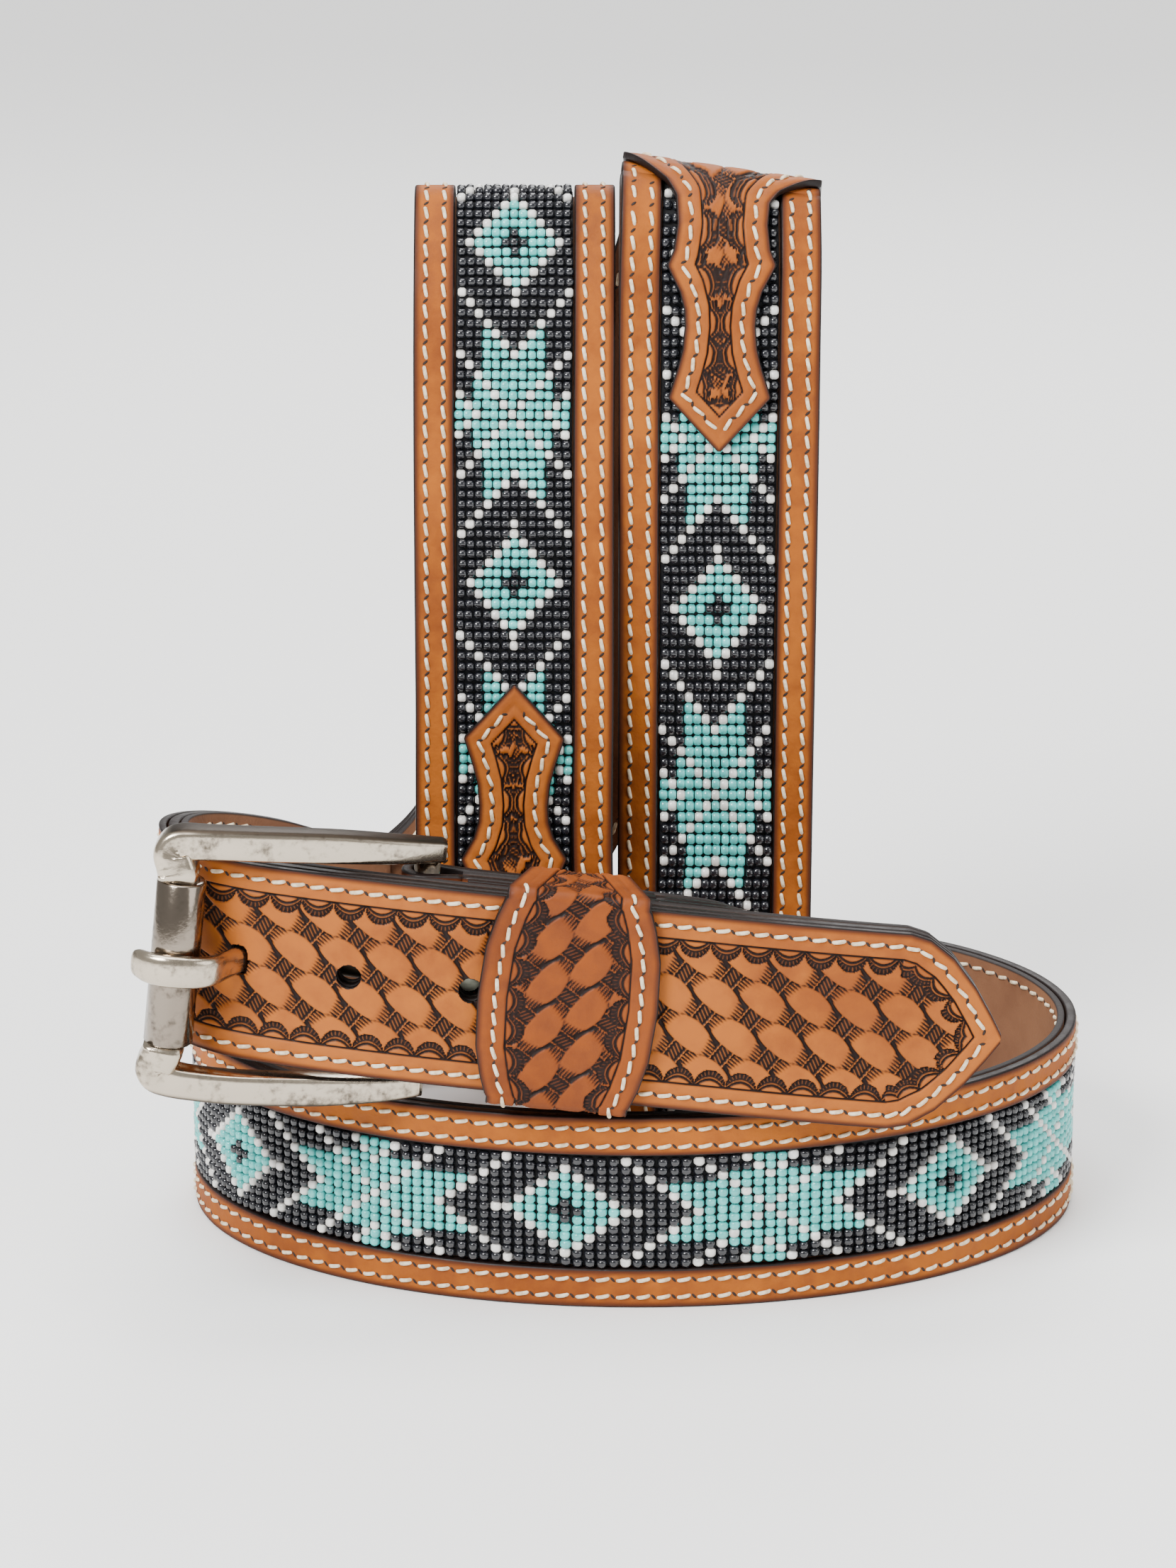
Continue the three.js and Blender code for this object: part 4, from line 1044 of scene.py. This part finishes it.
keeper = joined("keeper_loop", [keeper_slab()])
turned_out(keeper)
KEEPER_LIGHT, KEEPER_DARK = (0.230, 0.052, 0.005, 1), (0.130, 0.027, 0.003, 1)
coat(keeper, leather("keeper_leather", KEEPER_LIGHT, KEEPER_DARK, True))
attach(keeper, "root")
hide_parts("keeper")


# Stitching: waxed cream thread, two rows along each plain band, one along each overlay, one round the
# keeper's edges, and one on the lining where the outer rows come through.
STITCH_LENGTH, THREAD_RADIUS = 3.0, 0.38
STITCH_SLANT, HOLE_SLANT = math.radians(11), math.radians(48)
HOLE_LENGTH, HOLE_WIDTH = 1.25, 0.5
STITCH_SINK, KEEPER_STITCHED = 0.12, 47.0


def stitch_shape():
    rings = []
    angle = np.linspace(0, 2 * math.pi, 7, endpoint=False)
    for place in np.linspace(-1, 1, 6):
        rise = 0.22 - 0.62 * abs(place) ** 3.2
        radius = THREAD_RADIUS * (1 - 0.35 * abs(place) ** 4)
        x = np.full(7, place * STITCH_LENGTH / 2)
        rings.append(np.stack([x, np.cos(angle) * radius, rise + np.sin(angle) * radius * 0.9], 1))
    return small_solid("one_stitch", rings)


# Painted shade: a thin dark disc lies on the leather at each stitch hole in place of the shadowed inside of
# the hole, which is not cut.
def hole_shape():
    angle = np.linspace(0, 2 * math.pi, 10, endpoint=False)
    ring = np.stack([np.cos(angle) * HOLE_LENGTH / 2, np.sin(angle) * HOLE_WIDTH / 2, 0 * angle], 1)
    return small_solid("one_hole", [ring - [0, 0, 0.12], ring + [0, 0, 0.03]])


def slanted(along, face, slant):
    return unit(along * math.cos(slant) + np.cross(face, along) * math.sin(slant))


def stitch_row(spot, marks, pitch):
    """Places, faces and ways of a row's stitches, then those of the holes between them."""
    at, along, face = spot(marks)
    hole_at, hole_along, hole_face = spot(marks + pitch / 2)
    hole_way = slanted(hole_along, hole_face, -HOLE_SLANT)
    return at, face, slanted(along, face, STITCH_SLANT), hole_at, hole_face, hole_way


def gather(name, rows, shape, material, first):
    at, face, forward = (np.vstack([row[first + k] for row in rows]) for k in range(3))
    return spread_over(points_with(name, at, face, forward, np.ones((len(at), 3))), shape, material)


def straight_row(distance, across, height):
    """A row of stitches along the strap, on the outer face or, under the strap, on the inner one."""

    def spot(d):
        _, along, face, _ = on_way(d)
        return lay(d, across, height), along, face * math.copysign(1, height)

    return stitch_row(spot, distance, STITCH_PITCH)


def band_stitches():
    first, last = math.ceil(WINDOW_START / STITCH_PITCH) - 3, int(WINDOW_END / STITCH_PITCH) + 3
    distance = (np.arange(first, last) + 0.5) * STITCH_PITCH
    cover = np.where(distance < CHAPE_POINT, chape_half(distance), 0)
    cover = np.where(distance > BILLET_POINT, billet_half(distance), cover)
    rows = []
    for row in BAND_ROWS:
        for sign in (-1, 1):
            rows.append(straight_row(distance[cover < row - 0.6], sign * row, BAND_HIGH))
    return rows


def lining_stitches():
    distance = (np.arange(3, int((LENGTH - 16) / STITCH_PITCH)) + 0.5) * STITCH_PITCH
    return [straight_row(distance, sign * BAND_ROWS[0], LINING_LOW) for sign in (-1, 1)]


def traced_row(run, place, step_on, pitch):
    """A row of stitches at places traced along a line of known length."""

    def spot(marks):
        at, out = place(marks)
        return at, unit(place(marks + step_on)[0] - at), out

    return stitch_row(spot, np.arange(pitch * 0.4, run - pitch * 0.6, pitch), pitch)


def outline_stitches(half_of, start, end, inset, pitch):
    """Stitches a set distance inside an overlay's outline, on both sides of it."""
    d = np.arange(start, end, 0.2)
    half = half_of(d)
    slant = np.gradient(half, d)
    norm = np.sqrt(1 + slant**2)
    s, v = d + inset * slant / norm, half - inset / norm
    tree = edge_of(half_of, start, end)[0]
    clear = [tree.find((*place, 0))[2] > inset * 0.97 for place in zip(s, v)]
    keep = np.array(clear) & (v > 0.5)
    s, v = s[keep], v[keep]
    run = np.concatenate([[0], np.cumsum(np.hypot(np.diff(s), np.diff(v)))])

    def placed(sign):
        def place(marks):
            s0, v0 = np.interp(marks, run, s), np.interp(marks, run, v)
            return lay(s0, sign * v0, OVERLAY_HIGH - STITCH_SINK), on_way(s0)[2]

        return place

    return [traced_row(run[-1], placed(sign), 0.3, pitch) for sign in (-1, 1)]


def keeper_stitches():
    def placed(sign):
        def place(marks):
            d = marks + keeper_length[-1] / 2 - KEEPER_STITCHED / 2
            v = sign * (keeper_half_at(d) - 3.2)
            low = lay_keeper(d, v, KEEPER_THICKNESS - STITCH_SINK)
            high = lay_keeper(d, v, KEEPER_THICKNESS + 1)
            return low, unit(high - low)

        return place

    return [traced_row(KEEPER_STITCHED, placed(sign), 0.3, 3.3) for sign in (-1, 1)]


thread, shader, wire = finish("waxed_thread", Roughness=0.6)
THREAD_LIGHT, THREAD_DARK = (0.80, 0.70, 0.52, 1), (0.56, 0.43, 0.27, 1)
feed(shader, cloudy(wire, 900.0, 2.0).ramp(0.3, 0.65).tint(THREAD_DARK, THREAD_LIGHT), "Base Color")
bump(shader, wire, cloudy(wire, 2600.0, 2.0), 0.5, 0.0002)
# Painted shade: the near-black colour of the hole discs stands in for the shade inside the stitch holes.
hole_shade, shader, wire = finish("stitch_hole", (0.020, 0.009, 0.005, 1), Roughness=0.85)
one_stitch, one_hole = stitch_shape(), hole_shape()
billet_rows = outline_stitches(billet_half, BILLET_POINT + 0.2, LENGTH - 0.3, 2.6, 3.5)
chape_rows = outline_stitches(chape_half, 9.0, CHAPE_POINT - 0.2, 2.6, 3.5)
for name, node, slot, rows in (
    ("band_stitching", "outer_strap", "strap", band_stitches()),
    ("lining_stitching", "lining", "lining", lining_stitches()),
    ("billet_stitching", "billet_overlay", "tooled", billet_rows),
    ("chape_stitching", "chape_overlay", "tooled", chape_rows),
    ("keeper_stitching", "keeper", "tooled", keeper_stitches()),
):
    stitches = gather(name, rows, one_stitch, thread, 0)
    for piece in (stitches, gather(name + "_holes", rows, one_hole, hole_shade, 3)):
        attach(piece, "root")
        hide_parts(node)
bpy.data.objects.remove(one_stitch)
bpy.data.objects.remove(one_hole)


# Buckle: a cast frame of two bowed arms, with the heel bar at one end and a loose roller on the axle at
# the other, and a prong that turns on the heel bar. Antiqued nickel-brass, rubbed bright by wear. Painted
# shade and painted dark reflection darken the outer faces of the arms and the prong under the strap.
OPENING, ARM_HEIGHT = 41.0, 5.5
ARM_MIDDLE = (OPENING + ARM_HEIGHT) / 2
ROLLER_BACK = ROLLER_Y - HEEL_BAR_Y
# columns: left of the heel bar in buckle lengths, bow, rise over the arm's line, half-height, half-depth
FRAME_ROWS = [
    (-0.06, 0.0, -0.35, 2.0, 2.2),
    (0.12, 0.32, 0.0, 2.5, 2.4),
    (0.4, 0.66, 0.35, 2.9, 2.5),
    (0.7, 0.94, 0.3, 2.95, 2.6),
    (0.9, 1.02, -0.05, 2.95, 2.8),
    (1.0, 1.0, -0.55, 3.1, 3.1),
    (1.045, 0.99, -2.2, 3.4, 3.5),
    (1.03, 0.99, -4.4, 3.6, 3.8),
    (1.015, 1.0, -6.0, 3.7, 3.9),
]


def metal(name, light, dark, roughness):
    material, shader, wire = finish(name, light, Metallic=1.0, Roughness=roughness)
    broad, fine = cloudy(wire, 90.0, 4.0), cloudy(wire, 700.0, 4.0)
    tone_mix = (broad * 0.6 + fine * 0.4).ramp(0.3, 0.52)
    # Painted shade and painted dark reflection: where the per-vertex attribute is high the metal is held at
    # its dark colour; the noise alone gives patina and rubbed wear.
    tone_mix = tone_mix * attribute(wire, "dye").ramp(0.0, 1.0, 1.0, 0.0)
    feed(shader, tone_mix.tint(dark, light), "Base Color")
    feed(shader, tone_mix.ramp(0.0, 1.0, roughness + 0.16, roughness - 0.06), "Roughness")
    bump(shader, wire, fine * 0.6 + cloudy(wire, 160.0, 2.0) * 0.4, 0.25, 0.0003)
    return material


def corner_arm(sign):
    """One arm from the heel bar outwards, and round its corner down to the roller."""
    rows = smooth_line(np.array(FRAME_ROWS), 8, True)
    end = (rows[-1] * [1, 1, 0, 1, 1]) + [0, 0, ROLLER_LENGTH / 2 + LAYER_GAP - ARM_MIDDLE, 0, 0]
    rows = np.vstack([rows[:1] * [1, 1, 1, 0.84, 0.84] - [0.008, 0, 0, 0, 0], rows, end])
    left, bow, up, half_in, half_deep = rows.T
    path = buckle_point(left * BUCKLE_LENGTH, bow * ROLLER_BACK, sign * (ARM_MIDDLE + up))
    points, loops, sizes, values = round_tube(path, half_deep, half_in, np.array([0, 1, 0]), 28, 5.0)
    # Painted dark reflection and shade: the arm's outer face, the top of the upper arm and the underside of
    # the lower one, is darkened, fading out where the arm turns down to the roller.
    outward = (points - np.repeat(path, 28, axis=0)) @ slope_up * sign / np.repeat(half_in, 28)
    values["dye"] = eased(outward, 0.55, 0.95) * (1 - eased(-np.repeat(up, 28), 1.0, 3.0))
    return points, loops, sizes, values


def upright_bar(left, back, reach, radius, around=28):
    ends = [buckle_point(left, back, s * reach)[0] for s in (-1, 1)]
    return cylinder_mesh(ends[0], ends[1], radius, around)


nickel = metal("antiqued_nickel", (0.52, 0.45, 0.355, 1), (0.040, 0.030, 0.022, 1), 0.27)
dark_nickel = metal("rubbed_nickel", (0.25, 0.21, 0.17, 1), (0.03, 0.022, 0.017, 1), 0.22)
screw_steel = metal("screw_steel", (0.46, 0.47, 0.38, 1), (0.22, 0.22, 0.17, 1), 0.5)
buckle_frame = joined("buckle_casting", [corner_arm(1), corner_arm(-1)])
bars = joined(
    "buckle_bars",
    [
        upright_bar(0, 0, ARM_MIDDLE - 0.5, HEEL_BAR_RADIUS),
        upright_bar(BUCKLE_LENGTH, ROLLER_BACK, ARM_MIDDLE - 0.5, ROLLER_RADIUS - 2.2),
    ],
)


def roller_shape():
    around = 48
    angle = np.linspace(0, 2 * math.pi, around, endpoint=False)
    half, outer, inner = ROLLER_LENGTH / 2, ROLLER_RADIUS, ROLLER_RADIUS - 1.9
    lower = [(0.35 - half, inner), (-half, inner + 0.3), (-half, outer - 0.35), (0.35 - half, outer)]
    profile = lower + [(0.0, outer)] + [(-up, radius) for up, radius in lower[::-1]]
    rings = []
    for up, radius in profile:
        seam = 1 - 0.035 * np.exp(-(((angle - 4.4) / 0.05) ** 2)) * (radius > 4.4)
        left = BUCKLE_LENGTH + np.cos(angle) * radius * seam
        rings.append(buckle_point(left, ROLLER_BACK + np.sin(angle) * radius * seam, up))
    count = len(profile)
    i, k = np.meshgrid(np.arange(count), np.arange(around), indexing="ij")
    a, b = i * around, (i + 1) % count * around
    loops = np.stack([a + k, a + (k + 1) % around, b + (k + 1) % around, b + k], -1).reshape(-1)
    return object_from("roller_tube", np.vstack(rings), loops, [4] * (count * around), {})


roller = turned_out(roller_shape())
prong_eye = cylinder_mesh(
    buckle_point(0, 0, -PRONG_WIDTH / 2)[0], buckle_point(0, 0, PRONG_WIDTH / 2)[0], HEEL_BAR_RADIUS + 2, 32
)
# Painted shade: the prong's eye, inside the strap's fold round the heel bar, is darkened all over.
prong_eye[3]["dye"] = np.ones(64)
prong = turned_out(joined("prong_tongue", [prong_shape(0.0, 10), prong_eye]))
for piece, node, material in (
    (turned_out(buckle_frame), "buckle_frame", nickel),
    (turned_out(bars), "buckle_frame", dark_nickel),
    (roller, "roller", dark_nickel),
    (prong, "prong", nickel),
):
    coat(piece, material)
    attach(piece, "root")
    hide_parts(node)
for slot in bpy.data.objects["chape_screw"].material_slots:
    slot.material = screw_steel
for tool in slot_tools:
    bpy.data.objects.remove(tool)


# Studio: a pale sweep, one large soft key from the upper left, a weaker fill and a light from behind.
def soft_light(name, place, target, size, power):
    data = bpy.data.lights.new(name, "AREA")
    data.shape, data.size, data.energy = "DISK", size, power
    lamp = placed_object(name, data)
    lamp.location = place
    lamp.rotation_euler = (Vector(target) - Vector(place)).to_track_quat("-Z", "Y").to_euler()


camera_data = bpy.data.cameras.new("view")
camera_data.sensor_fit, camera_data.sensor_width, camera_data.lens = "HORIZONTAL", 36.0, 142.76
camera_data.clip_start, camera_data.clip_end = 0.05, 20.0
camera = placed_object("view", camera_data)
LOOK_AT, LOOK_FROM = Vector((-0.0061, 0.0, 0.08434)), 0.9
RISE, SWING = math.radians(17.28), math.radians(0.216)
back_way = Vector((math.sin(SWING) * math.cos(RISE), -math.cos(SWING) * math.cos(RISE), math.sin(RISE)))
camera.location = LOOK_AT + back_way * LOOK_FROM
camera.rotation_euler = (-back_way).to_track_quat("-Z", "Y").to_euler()
bpy.context.scene.camera = camera
soft_light("key", (-0.55, -0.75, 0.85), (0.0, 0.0, 0.08), 0.5, 21.0)
soft_light("fill", (0.85, -0.6, 0.5), (0.0, 0.0, 0.08), 0.8, 4.5)
soft_light("behind", (0.1, 0.9, 0.8), (0.0, 0.0, 0.1), 0.6, 7.0)
ceiling = bpy.data.lights.new("ceiling", "SUN")
ceiling.energy, ceiling.angle = 3.2, math.radians(50)
placed_object("ceiling", ceiling)
world = bpy.data.worlds.new("studio")
bpy.context.scene.world = world
world.use_nodes = True
sky = world.node_tree.nodes["Background"].inputs
sky[0].default_value, sky[1].default_value = (1.0, 0.985, 0.96, 1), 0.5
floor_mesh = bpy.data.meshes.new("floor")
floor_mesh.from_pydata([(-4, -4, 0), (4, -4, 0), (4, 4, 0), (-4, 4, 0)], [], [(0, 1, 2, 3)])
floor = placed_object("floor", floor_mesh)
paper, shader, wire = finish("pale_paper", (0.94, 0.94, 0.935, 1), Roughness=0.85)
coat(floor, paper)
